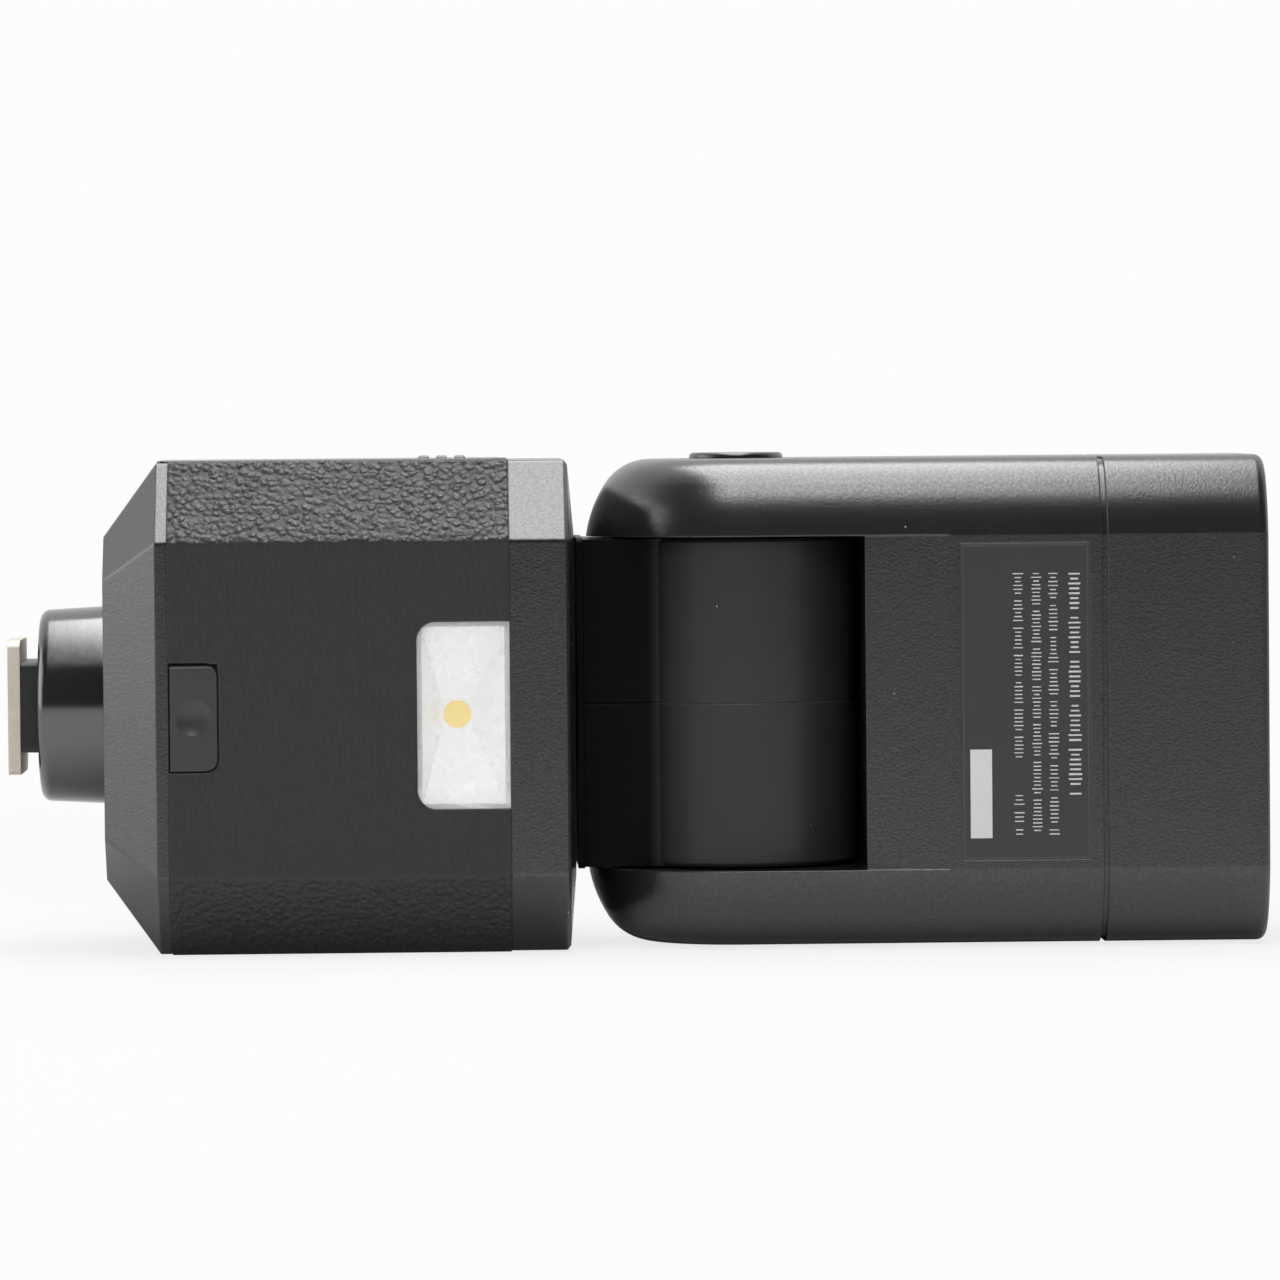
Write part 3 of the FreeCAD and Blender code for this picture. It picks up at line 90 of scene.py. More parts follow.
def vectorMath(tree, operation, first, second=None):
    node = addNode(tree, "ShaderNodeVectorMath", operation=operation)
    for socket, value in zip(node.inputs, (first, second)):
        setOrLink(tree, socket, value)
    return node.outputs["Value" if operation in ("DOT_PRODUCT", "LENGTH") else "Vector"]


def remap(tree, value, low, high, toLow=0.0, toHigh=1.0, smooth=False):
    node = addNode(tree, "ShaderNodeMapRange", clamp=True)
    node.interpolation_type = "SMOOTHSTEP" if smooth else "LINEAR"
    entries = {"Value": value, "From Min": low, "From Max": high, "To Min": toLow, "To Max": toHigh}
    for name, entry in entries.items():
        setOrLink(tree, node.inputs[name], entry)
    return node.outputs["Result"]


def mixColour(tree, factor, first, second):
    node = addNode(tree, "ShaderNodeMix", data_type="RGBA")
    setOrLink(tree, node.inputs[0], factor)
    setOrLink(tree, node.inputs[6], first)
    setOrLink(tree, node.inputs[7], second)
    return node.outputs[2]


def noise(tree, vector, scale, detail=2.0, roughness=0.5):
    node = addNode(tree, "ShaderNodeTexNoise")
    connect(tree, vector, node.inputs["Vector"])
    setOrLink(tree, node.inputs["Scale"], scale)
    node.inputs["Detail"].default_value = detail
    node.inputs["Roughness"].default_value = roughness
    return node.outputs["Fac"]


def perSize(tree, size):
    return mathNode(tree, "DIVIDE", 1.0, size)


def newGroup(name, inputs, outputs):
    # inputs are (socket name, kind, default), outputs are (socket name, kind)
    tree = bpy.data.node_groups.new(name, "ShaderNodeTree")
    for socketName, kind, default in inputs:
        socket = tree.interface.new_socket(name=socketName, in_out="INPUT", socket_type="NodeSocket" + kind)
        if default is not None:
            socket.default_value = default
    for socketName, kind in outputs:
        tree.interface.new_socket(name=socketName, in_out="OUTPUT", socket_type="NodeSocket" + kind)
    return tree, addNode(tree, "NodeGroupInput"), addNode(tree, "NodeGroupOutput")


# effects shared by the finishes; "slow" is the scale of slow changes, per metre
sparkMix = {
    "slow": 90.0, "cellScale": 0.8, "fineHeight": 0.6, "cellHeight": 0.5, "glintScale": 0.75,
    "glintBand": (0.36, 0.64),    # range of fine noise that goes from dull to bright
    "speckRough": 0.10,           # change of roughness from grain to grain
}


def sparkGrain():
    # fine spark-eroded mould texture, with slow changes in how it shines
    tree, given, result = newGroup(
        "sparkGrain",
        [("Size", "Float", 0.0003), ("Depth", "Float", 0.00002), ("Roughness", "Float", 0.4),
         ("Patchiness", "Float", 0.06)],
        [("Height", "Float"), ("Roughness", "Float"), ("Shade", "Float"), ("Glint", "Float")],
    )
    place = addNode(tree, "ShaderNodeTexCoord").outputs["Object"]
    scale = perSize(tree, given.outputs["Size"])
    fine = noise(tree, place, scale, detail=3.0, roughness=0.6)
    grains = addNode(tree, "ShaderNodeTexVoronoi", feature="SMOOTH_F1")
    connect(tree, place, grains.inputs["Vector"])
    connect(tree, times(tree, scale, sparkMix["cellScale"]), grains.inputs["Scale"])
    blend = plus(tree, times(tree, fine, sparkMix["fineHeight"]),
                 times(tree, grains.outputs["Distance"], sparkMix["cellHeight"]))
    connect(tree, times(tree, blend, given.outputs["Depth"]), result.inputs["Height"])
    glint = noise(tree, place, times(tree, scale, sparkMix["glintScale"]), detail=1.0, roughness=0.4)
    connect(tree, remap(tree, glint, *sparkMix["glintBand"]), result.inputs["Glint"])
    slow = noise(tree, place, sparkMix["slow"], detail=3.0, roughness=0.55)
    patch = times(tree, aboutHalf(tree, slow), given.outputs["Patchiness"])
    speck = times(tree, aboutHalf(tree, fine), sparkMix["speckRough"])
    rough = plus(tree, plus(tree, given.outputs["Roughness"], patch), speck, clamp=True)
    connect(tree, rough, result.inputs["Roughness"])
    connect(tree, plus(tree, times(tree, slow, 0.5), times(tree, fine, 0.5)), result.inputs["Shade"])
    return tree


pebbleMix = {
    "slow": 110.0, "warpScale": 0.8, "cellSmooth": 0.35, "fineScale": 2.4, "fineHeight": 0.35,
    "hillFoot": 0.75,             # how far from its middle a pebble reaches, in cells
    "facetBand": (0.2, 0.4),      # how far a face turns up or down before it takes pebbles
    "creaseRough": 0.12, "slowRough": 0.08,
}


def pebbleGrain():
    # moulded leather look: round pebbles on the facets, fine upright wrinkles on the front and back, and a
    # crease output that is painted shade for the hollows between them
    tree, given, result = newGroup(
        "pebbleGrain",
        [("Pebble", "Float", 0.0011), ("Depth", "Float", 0.00016), ("Wrinkle", "Float", 0.00055),
         ("Wrinkle Depth", "Float", 0.00004), ("Roughness", "Float", 0.45)],
        [("Height", "Float"), ("Crease Shade", "Float"), ("Roughness", "Float")],
    )
    place = addNode(tree, "ShaderNodeTexCoord").outputs["Object"]
    facing = addNode(tree, "ShaderNodeSeparateXYZ")
    connect(tree, addNode(tree, "ShaderNodeNewGeometry").outputs["Normal"], facing.inputs[0])
    facet = remap(tree, mathNode(tree, "ABSOLUTE", facing.outputs["Z"]), *pebbleMix["facetBand"])

    def lumps(size, stretch, bend):
        drawn = vectorMath(tree, "MULTIPLY", place, (1.0, 1.0, 1.0 / stretch))
        scale = perSize(tree, size)
        warp = addNode(tree, "ShaderNodeTexNoise")
        connect(tree, drawn, warp.inputs["Vector"])
        connect(tree, times(tree, scale, pebbleMix["warpScale"]), warp.inputs["Scale"])
        shift = addNode(tree, "ShaderNodeVectorMath", operation="SCALE")
        connect(tree, vectorMath(tree, "SUBTRACT", warp.outputs["Color"], (0.5, 0.5, 0.5)), shift.inputs[0])
        connect(tree, times(tree, size, bend), shift.inputs["Scale"])
        bent = vectorMath(tree, "ADD", drawn, shift.outputs[0])
        cells = addNode(tree, "ShaderNodeTexVoronoi", feature="SMOOTH_F1")
        cells.inputs["Smoothness"].default_value = pebbleMix["cellSmooth"]
        connect(tree, bent, cells.inputs["Vector"])
        connect(tree, scale, cells.inputs["Scale"])
        fine = noise(tree, bent, times(tree, scale, pebbleMix["fineScale"]), detail=3.0, roughness=0.6)
        hill = remap(tree, cells.outputs["Distance"], 0.0, pebbleMix["hillFoot"], 1.0, 0.0)
        return plus(tree, hill, times(tree, fine, pebbleMix["fineHeight"])), hill

    pebbles, pebbleHill = lumps(given.outputs["Pebble"], stretch=1.0, bend=0.9)
    wrinkles, wrinkleHill = lumps(given.outputs["Wrinkle"], stretch=4.0, bend=1.3)
    front = oneMinus(tree, facet)
    onFacet = times(tree, times(tree, pebbles, given.outputs["Depth"]), facet)
    onFront = times(tree, times(tree, wrinkles, given.outputs["Wrinkle Depth"]), front)
    connect(tree, plus(tree, onFacet, onFront), result.inputs["Height"])
    # the crease mask, 1 between the lumps: painted shade in the finish's colour, and extra roughness here
    low = oneMinus(tree, plus(tree, times(tree, pebbleHill, facet), times(tree, wrinkleHill, front)))
    connect(tree, low, result.inputs["Crease Shade"])
    slow = noise(tree, place, pebbleMix["slow"], detail=3.0, roughness=0.55)
    rough = plus(tree, given.outputs["Roughness"], times(tree, low, pebbleMix["creaseRough"]))
    patch = times(tree, aboutHalf(tree, slow), pebbleMix["slowRough"])
    connect(tree, plus(tree, rough, patch), result.inputs["Roughness"])
    return tree


wearMix = {
    "slow": 700.0, "samples": 6,
    "rubbedBand": (0.01, 0.16),   # how much the soft edge turns the normal, from none to a full rub
    "keptBand": (0.40, 0.62),     # noise that breaks the rub up
}


def edgeWear():
    # soft rounding of every sharp edge, and a mask that is 1 where hands polish it
    tree, given, result = newGroup(
        "edgeWear",
        [("Radius", "Float", 0.0003), ("Breakup", "Float", 0.5)],
        [("Mask", "Float"), ("Normal", "Vector")],
    )
    bevel = addNode(tree, "ShaderNodeBevel", samples=wearMix["samples"])
    connect(tree, given.outputs["Radius"], bevel.inputs["Radius"])
    flat = addNode(tree, "ShaderNodeNewGeometry").outputs["Normal"]
    place = addNode(tree, "ShaderNodeTexCoord").outputs["Object"]
    turn = oneMinus(tree, vectorMath(tree, "DOT_PRODUCT", bevel.outputs[0], flat))
    rubbed = remap(tree, turn, *wearMix["rubbedBand"], 0.0, 1.0, smooth=True)
    patches = noise(tree, place, wearMix["slow"], detail=3.0, roughness=0.6)
    worn = remap(tree, patches, *wearMix["keptBand"])
    keep = oneMinus(tree, times(tree, worn, given.outputs["Breakup"]))
    connect(tree, times(tree, rubbed, keep), result.inputs["Mask"])
    connect(tree, bevel.outputs[0], result.inputs["Normal"])
    return tree


smallestSpeck = 0.4               # of the speck's size; the largest is this plus 1


def dustSpecks():
    # a few pale specks of dust
    tree, given, result = newGroup(
        "dustSpecks",
        [("Spacing", "Float", 0.0016), ("Speck", "Float", 0.00007), ("Share", "Float", 0.06)],
        [("Mask", "Float")],
    )
    place = addNode(tree, "ShaderNodeTexCoord").outputs["Object"]
    cells = addNode(tree, "ShaderNodeTexVoronoi", feature="F1")
    connect(tree, place, cells.inputs["Vector"])
    connect(tree, perSize(tree, given.outputs["Spacing"]), cells.inputs["Scale"])
    channels = addNode(tree, "ShaderNodeSeparateColor")
    connect(tree, cells.outputs["Color"], channels.inputs[0])
    reach = mathNode(tree, "DIVIDE", given.outputs["Speck"], given.outputs["Spacing"])
    varied = times(tree, reach, plus(tree, smallestSpeck, channels.outputs[1]))
    near = mathNode(tree, "LESS_THAN", cells.outputs["Distance"], varied)
    chosen = mathNode(tree, "LESS_THAN", channels.outputs[0], given.outputs["Share"])
    connect(tree, times(tree, near, chosen), result.inputs["Mask"])
    return tree


lineMix = {"slow": 260.0, "lineShade": 0.55, "blotchShade": 0.45}


def brushedLines():
    # fine drawing lines along one axis, for rolled and turned metal
    tree, given, result = newGroup(
        "brushedLines",
        [("Line", "Float", 0.00008), ("Depth", "Float", 0.000004), ("Run", "Vector", (0.05, 1.0, 1.0))],
        [("Height", "Float"), ("Shade", "Float")],
    )
    place = addNode(tree, "ShaderNodeTexCoord").outputs["Object"]
    drawn = vectorMath(tree, "MULTIPLY", place, given.outputs["Run"])
    lines = noise(tree, drawn, perSize(tree, given.outputs["Line"]), detail=4.0, roughness=0.65)
    blotch = noise(tree, place, lineMix["slow"], detail=3.0, roughness=0.6)
    connect(tree, times(tree, lines, given.outputs["Depth"]), result.inputs["Height"])
    shade = plus(tree, times(tree, lines, lineMix["lineShade"]), times(tree, blotch, lineMix["blotchShade"]))
    connect(tree, shade, result.inputs["Shade"])
    return tree


effects = {make.__name__: make() for make in (sparkGrain, pebbleGrain, edgeWear, dustSpecks, brushedLines)}


def useEffect(tree, name, **values):
    node = addNode(tree, "ShaderNodeGroup", node_tree=effects[name])
    for key, value in values.items():
        setOrLink(tree, node.inputs[key], value)
    return node.outputs


# finishes
# base, alt and worn are colours, edge is the soft edge's radius in metres, "shader" names Principled sockets
finishes = {
    "shellBlack": {
        "base": (0.0075, 0.0075, 0.008), "alt": (0.0105, 0.0105, 0.011), "worn": (0.10, 0.10, 0.102),
        "edge": 0.00035,
        "spark": {"Size": 0.00028, "Depth": 0.000022, "Roughness": 0.25, "Patchiness": 0.05},
        "dust": 0.03, "wear": 0.5,
        "glint": (0.44, 0.53), "shader": {"IOR": 1.85},
    },
    "shellInside": {
        "base": (0.040, 0.040, 0.041), "alt": (0.055, 0.055, 0.057), "edge": 0.0002,
        "spark": {"Size": 0.0004, "Depth": 0.000012, "Roughness": 0.5, "Patchiness": 0.08},
    },
    "barrelBlack": {
        "base": (0.022, 0.022, 0.0225), "alt": (0.028, 0.028, 0.0285), "worn": (0.10, 0.10, 0.10),
        "edge": 0.00025,
        "spark": {"Size": 0.00018, "Depth": 0.000006, "Roughness": 0.36, "Patchiness": 0.05},
        "dust": 0.03, "wear": 0.6,
        "shankShade": (0.0015, 0.0055),  # painted shade and painted dark reflection: the shank, this far along X in metres, is coloured darker and made less glossy, standing in for its shadow beside the body
    },
    "leverBlack": {
        "base": (0.014, 0.014, 0.0145), "alt": (0.019, 0.019, 0.0195), "worn": (0.10, 0.10, 0.10),
        "edge": 0.00025,
        "spark": {"Size": 0.00022, "Depth": 0.000008, "Roughness": 0.30, "Patchiness": 0.05}, "wear": 0.6,
        "shader": {"IOR": 1.7},
    },
    "collarGloss": {
        "base": (0.005, 0.005, 0.0055), "alt": (0.008, 0.008, 0.009), "worn": (0.05, 0.05, 0.05),
        "edge": 0.0005,
        "spark": {"Size": 0.0005, "Depth": 0.000003, "Roughness": 0.15, "Patchiness": 0.05},
        "dust": 0.02, "wear": 0.4,
        "shader": {"IOR": 2.15},
    },
    "leatherGrain": {
        # alt is painted shade: the pebble creases are coloured darker
        "base": (0.0155, 0.016, 0.017), "alt": (0.012, 0.012, 0.0125), "worn": (0.08, 0.08, 0.085),
        "edge": 0.0004,
        "pebble": {"Pebble": 0.00095, "Depth": 0.00030, "Wrinkle": 0.00045, "Wrinkle Depth": 0.00009,
                   "Roughness": 0.40},
        "dust": 0.05, "wear": 0.25, "shader": {"IOR": 1.62},
    },
    "panelSatin": {
        "base": (0.014, 0.014, 0.015), "alt": (0.019, 0.019, 0.020), "worn": (0.09, 0.09, 0.09),
        "edge": 0.00025,
        "spark": {"Size": 0.00022, "Depth": 0.000010, "Roughness": 0.30, "Patchiness": 0.05},
        "dust": 0.03, "wear": 0.3,
        "shader": {"IOR": 1.75},
    },
    "flapRubber": {
        "base": (0.027, 0.0275, 0.028), "alt": (0.032, 0.0325, 0.033), "worn": (0.10, 0.10, 0.10),
        "edge": 0.00025,
        "spark": {"Size": 0.0002, "Depth": 0.000006, "Roughness": 0.42, "Patchiness": 0.08},
        "dust": 0.03, "wear": 0.3,
        "shader": {"IOR": 1.6},
    },
    "keyRubber": {
        "base": (0.060, 0.061, 0.064), "alt": (0.075, 0.076, 0.08), "worn": (0.14, 0.14, 0.145),
        "edge": 0.0003,
        "spark": {"Size": 0.00025, "Depth": 0.000008, "Roughness": 0.55, "Patchiness": 0.08},
        "dust": 0.03, "wear": 0.4,
    },
    "dialBlack": {
        "base": (0.022, 0.022, 0.023), "alt": (0.030, 0.030, 0.031), "worn": (0.16, 0.16, 0.16),
        "edge": 0.00025,
        "spark": {"Size": 0.00018, "Depth": 0.000006, "Roughness": 0.30, "Patchiness": 0.05}, "wear": 0.5,
    },
    "labelFilm": {
        "base": (0.019, 0.019, 0.020), "alt": (0.023, 0.023, 0.024), "edge": 0.0002,
        "spark": {"Size": 0.0006, "Depth": 0.000004, "Roughness": 0.36, "Patchiness": 0.06}, "dust": 0.02,
        "shader": {"IOR": 1.7},
    },
    "footMetal": {
        "base": (0.72, 0.66, 0.56), "alt": (0.56, 0.51, 0.43), "worn": (0.80, 0.76, 0.69),
        "edge": 0.00025, "wear": 0.7,
        "brushed": {"Line": 0.00009, "Depth": 0.000005, "Run": (1.0, 0.05, 1.0)}, "roughness": (0.38, 0.55),
        "shader": {"Metallic": 0.55},
    },
    "contactGold": {
        "base": (0.83, 0.60, 0.26), "alt": (0.66, 0.45, 0.18), "edge": 0.0001,
        "brushed": {"Line": 0.00006, "Depth": 0.000002, "Run": (1.0, 1.0, 1.0)}, "roughness": (0.16, 0.32),
        "shader": {"Metallic": 1.0},
    },
    "steelBright": {
        "base": (0.55, 0.56, 0.58), "alt": (0.36, 0.37, 0.38), "edge": 0.00015,
        "brushed": {"Line": 0.00007, "Depth": 0.000003, "Run": (0.05, 1.0, 1.0)}, "roughness": (0.20, 0.38),
        "shader": {"Metallic": 1.0},
    },
    "springStrip": {
        "base": (0.70, 0.66, 0.56), "alt": (0.52, 0.48, 0.38), "edge": 0.00012,
        "brushed": {"Line": 0.00008, "Depth": 0.000003, "Run": (1.0, 0.06, 1.0)}, "roughness": (0.22, 0.40),
        "shader": {"Metallic": 1.0},
    },
    "mirrorFoil": {
        "base": (0.86, 0.87, 0.88), "alt": (0.74, 0.75, 0.76), "edge": 0.00015,
        "brushed": {"Line": 0.0005, "Depth": 0.000006, "Run": (1.0, 1.0, 0.2)}, "roughness": (0.10, 0.22),
        "shader": {"Metallic": 1.0},
    },
    "lampCup": {
        "base": (0.97, 0.975, 0.98), "alt": (0.93, 0.94, 0.95), "edge": 0.0002,
        "brushed": {"Line": 0.004, "Depth": 0.000004, "Run": (1.0, 1.0, 1.0)}, "roughness": (0.22, 0.34),
        "shader": {"Metallic": 0.15},
    },
    "lampMilk": {
        "base": (0.985, 0.985, 0.985), "alt": (0.965, 0.97, 0.97), "edge": 0.0002, "alpha": (0.12, 0.20),
        "spark": {"Size": 0.0012, "Depth": 0.000002, "Roughness": 0.22, "Patchiness": 0.05},
        "shader": {"IOR": 1.49},
    },
    "ledYellow": {
        "base": (1.0, 0.74, 0.03), "alt": (0.97, 0.66, 0.02), "edge": 0.0001,
        "spark": {"Size": 0.0004, "Depth": 0.000004, "Roughness": 0.45, "Patchiness": 0.1},
    },
    "lensClear": {
        "base": (0.90, 0.92, 0.93), "alt": (0.82, 0.85, 0.87), "edge": 0.0002, "alpha": (0.20, 0.42),
        "brushed": {"Line": 0.0007, "Depth": 0.00010, "Run": (1.0, 1.0, 0.01)}, "roughness": (0.06, 0.14),
        "shader": {"IOR": 1.49},
    },
    "panelFrost": {
        "base": (0.88, 0.91, 0.93), "alt": (0.80, 0.84, 0.87), "edge": 0.0002, "alpha": (0.42, 0.56),
        "spark": {"Size": 0.0009, "Depth": 0.000010, "Roughness": 0.22, "Patchiness": 0.05},
        "shader": {"IOR": 1.49},
    },
    "cardWhite": {
        "base": (0.86, 0.86, 0.85), "alt": (0.80, 0.80, 0.79), "edge": 0.00015,
        "spark": {"Size": 0.0008, "Depth": 0.000006, "Roughness": 0.5, "Patchiness": 0.08},
    },
    "displayGlass": {
        "base": (0.020, 0.022, 0.022), "alt": (0.030, 0.032, 0.032), "edge": 0.0002, "alpha": (0.28, 0.34),
        "spark": {"Size": 0.003, "Depth": 0.000002, "Roughness": 0.05, "Patchiness": 0.02},
        "shader": {"IOR": 1.5},
    },
    "displayCell": {
        "base": (0.30, 0.34, 0.29), "alt": (0.26, 0.30, 0.25), "edge": 0.0001,
        "spark": {"Size": 0.0003, "Depth": 0.000002, "Roughness": 0.30, "Patchiness": 0.04},
    },
    "tubeGlass": {
        "base": (0.90, 0.93, 0.95), "alt": (0.82, 0.86, 0.88), "edge": 0.0002, "alpha": (0.30, 0.45),
        "spark": {"Size": 0.003, "Depth": 0.000003, "Roughness": 0.05, "Patchiness": 0.02},
        "shader": {"IOR": 1.46},
    },
    "cellJacket": {
        "base": (0.06, 0.07, 0.10), "alt": (0.09, 0.10, 0.13), "edge": 0.0002,
        "spark": {"Size": 0.002, "Depth": 0.000004, "Roughness": 0.25, "Patchiness": 0.05},
    },
    "boardGreen": {
        "base": (0.015, 0.090, 0.040), "alt": (0.025, 0.13, 0.055), "edge": 0.0001,
        "spark": {"Size": 0.0009, "Depth": 0.000010, "Roughness": 0.38, "Patchiness": 0.1},
    },
    "canSleeve": {
        "base": (0.018, 0.020, 0.035), "alt": (0.03, 0.034, 0.055), "edge": 0.0003,
        "spark": {"Size": 0.002, "Depth": 0.000006, "Roughness": 0.28, "Patchiness": 0.06},
    },
    "printGrey": {
        "base": (0.52, 0.52, 0.53), "alt": (0.46, 0.46, 0.47), "edge": 0.00005,
        "spark": {"Size": 0.00025, "Depth": 0.000002, "Roughness": 0.5, "Patchiness": 0.1},
    },
    "printFaint": {
        "base": (0.085, 0.085, 0.087), "alt": (0.06, 0.06, 0.062), "edge": 0.00005,
        "spark": {"Size": 0.00025, "Depth": 0.000002, "Roughness": 0.4, "Patchiness": 0.1},
    },
    "neckBlack": {
        "base": (0.010, 0.010, 0.0105), "alt": (0.014, 0.014, 0.015), "worn": (0.06, 0.06, 0.06),
        "edge": 0.0003,
        "spark": {"Size": 0.00025, "Depth": 0.000008, "Roughness": 0.4, "Patchiness": 0.05}, "wear": 0.3,
    },
    "printWhite": {
        "base": (0.62, 0.62, 0.62), "alt": (0.50, 0.50, 0.50), "edge": 0.00005,
        "spark": {"Size": 0.00025, "Depth": 0.000002, "Roughness": 0.5, "Patchiness": 0.1},
    },
}


def asColour(value):
    return (*value, 1.0)


grainBand = (0.35, 0.65)      # grain's noise, from the base colour to the other one
lineBand = (0.38, 0.62)
dustColour = (0.75, 0.75, 0.75, 1.0)
# painted shade on the neck's shank, for its shadow beside the body: this darker colour and the lower specular
# below
shankShadeColour = (0.0035, 0.0035, 0.0035, 1.0)
shankShadeSpecular = (0.06, 0.5)      # specular level of the shank under painted shade, and of the rest


def buildFinish(name, look):
    material = bpy.data.materials.new(name)
    material.use_nodes = True
    tree = material.node_tree
    shader = tree.nodes["Principled BSDF"]
    edge = useEffect(tree, "edgeWear", Radius=look["edge"])
    bump = addNode(tree, "ShaderNodeBump")
    bump.inputs["Strength"].default_value = 1.0
    bump.inputs["Distance"].default_value = 1.0
    connect(tree, edge["Normal"], bump.inputs["Normal"])
    if "spark" in look:
        grain = useEffect(tree, "sparkGrain", **look["spark"])
        shade, rough = grain["Shade"], grain["Roughness"]
        tint = remap(tree, shade, *grainBand)
    elif "pebble" in look:
        grain = useEffect(tree, "pebbleGrain", **look["pebble"])
        # the crease mask mixes towards alt: painted shade in the creases
        tint, rough = grain["Crease Shade"], grain["Roughness"]
    else:
        grain = useEffect(tree, "brushedLines", **look["brushed"])
        tint = remap(tree, grain["Shade"], *lineBand)
        rough = remap(tree, grain["Shade"], *grainBand, *look["roughness"])
    connect(tree, grain["Height"], bump.inputs["Height"])
    colour = mixColour(tree, tint, asColour(look["base"]), asColour(look["alt"]))
    if look.get("wear"):
        colour = mixColour(tree, times(tree, edge["Mask"], look["wear"]), colour, asColour(look["worn"]))
    # painted shade and painted dark reflection: the shank is coloured darker and its specular cut, standing
    # in for its shadow beside the body
    if "shankShade" in look:
        along = addNode(tree, "ShaderNodeSeparateXYZ")
        connect(tree, addNode(tree, "ShaderNodeTexCoord").outputs["Object"], along.inputs[0])
        outsideShankShade = remap(tree, along.outputs["X"], *look["shankShade"], 0.0, 1.0, smooth=True)
        colour = mixColour(tree, outsideShankShade, shankShadeColour, colour)
        connect(tree, remap(tree, outsideShankShade, 0.0, 1.0, *shankShadeSpecular), shader.inputs["Specular IOR Level"])
    if look.get("dust"):
        specks = useEffect(tree, "dustSpecks", Share=look["dust"])
        colour = mixColour(tree, specks["Mask"], colour, dustColour)
    connect(tree, colour, shader.inputs["Base Color"])
    connect(tree, rough, shader.inputs["Roughness"])
    connect(tree, bump.outputs[0], shader.inputs["Normal"])
    if "alpha" in look:
        connect(tree, remap(tree, tint, 0.0, 1.0, *look["alpha"]), shader.inputs["Alpha"])
    if "glint" in look:
        glint = remap(tree, grain["Glint"], 0.0, 1.0, *look["glint"])
        connect(tree, glint, shader.inputs["Specular IOR Level"])
    for socket, value in look.get("shader", {}).items():
        shader.inputs[socket].default_value = value
    return material


materials = {name: buildFinish(name, look) for name, look in finishes.items()}
print("finishes:", len(materials))

wearers = {
    "footMetal": ["shoe_plate"],
    "neckBlack": ["shoe_block"],
    "shellInside": ["front_casing", "rear_casing", "battery_box", "power_socket", "swivel_bush",
                    "zoom_carriage", "key_board"],
    "collarGloss": ["foot_collar"],
    "barrelBlack": ["neck_left", "neck_right", "turntable"],
    "leverBlack": ["lock_lever"],
    "shellBlack": ["base_cover", "top_cover", "head_front_shell", "head_back_shell", "bezel", "battery_door",
                   "tilt_button"],
    "leatherGrain": ["covering"],
    "panelSatin": ["control_panel"],
    "flapRubber": ["socket_flap"],
    "keyRubber": ["key_1", "key_2", "key_3", "set_key"],
    "dialBlack": ["control_dial", "power_switch"],
    "labelFilm": ["label_plate"],
    "contactGold": ["sync_contact", "shoe_contacts"],
    "steelBright": ["lock_pin", "screws", "door_pin", "guide_rods", "lead_screw", "zoom_frame", "zoom_motor",
                    "tilt_axle", "swivel_ring"],
    "springStrip": ["cell_contacts", "door_contacts"],
    "mirrorFoil": ["reflector"],
    "lampCup": ["lamp_reflector"],
    "ledYellow": ["lamp_led"],
    "lampMilk": ["lamp_window"],
    "lensClear": ["fresnel_lens"],
    "panelFrost": ["wide_panel"],
    "cardWhite": ["catchlight_card"],
    "displayGlass": ["display_window"],
    "displayCell": ["display_module"],
    "tubeGlass": ["flash_tube"],
    "cellJacket": ["cell_1", "cell_2", "cell_3", "cell_4"],
    "boardGreen": ["main_board"],
    "canSleeve": ["main_capacitor"],
}


def wear(piece, material):
    piece.data.materials.clear()
    piece.data.materials.append(material)


for finishName, names in wearers.items():
    for nodeName in names:
        wear(nodes[nodeName], materials[finishName])
print("bare nodes:", sorted(set(nodes) - {n for names in wearers.values() for n in names}))


# lenses
def meshPiece(name, points, faces, body, material, replaced=()):
    mesh = bpy.data.meshes.new(name)
    mesh.from_pydata([tuple(p) for p in points], [], faces)
    mesh.validate()
    mesh.update()
    piece = bpy.data.objects.new(name, mesh)
    bpy.context.scene.collection.objects.link(piece)
    wear(piece, material)
    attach(piece, body)
    if replaced:
        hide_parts(*replaced)
    return piece


def squareToRounded(u, v, halfU, halfV, radii):
    # moves a point of a rectangle so that its corners become round; radii are for (-u, +u)
    radius = radii[0] if u < 0 else radii[1]
    cu, cv = abs(u) - (halfU - radius), abs(v) - (halfV - radius)
    if radius > 0 and cu > 0 and cv > 0:
        size = max(cu, cv) / math.hypot(cu, cv)
        u = math.copysign(halfU - radius + cu * size, u)
        v = math.copysign(halfV - radius + cv * size, v)
    return u, v


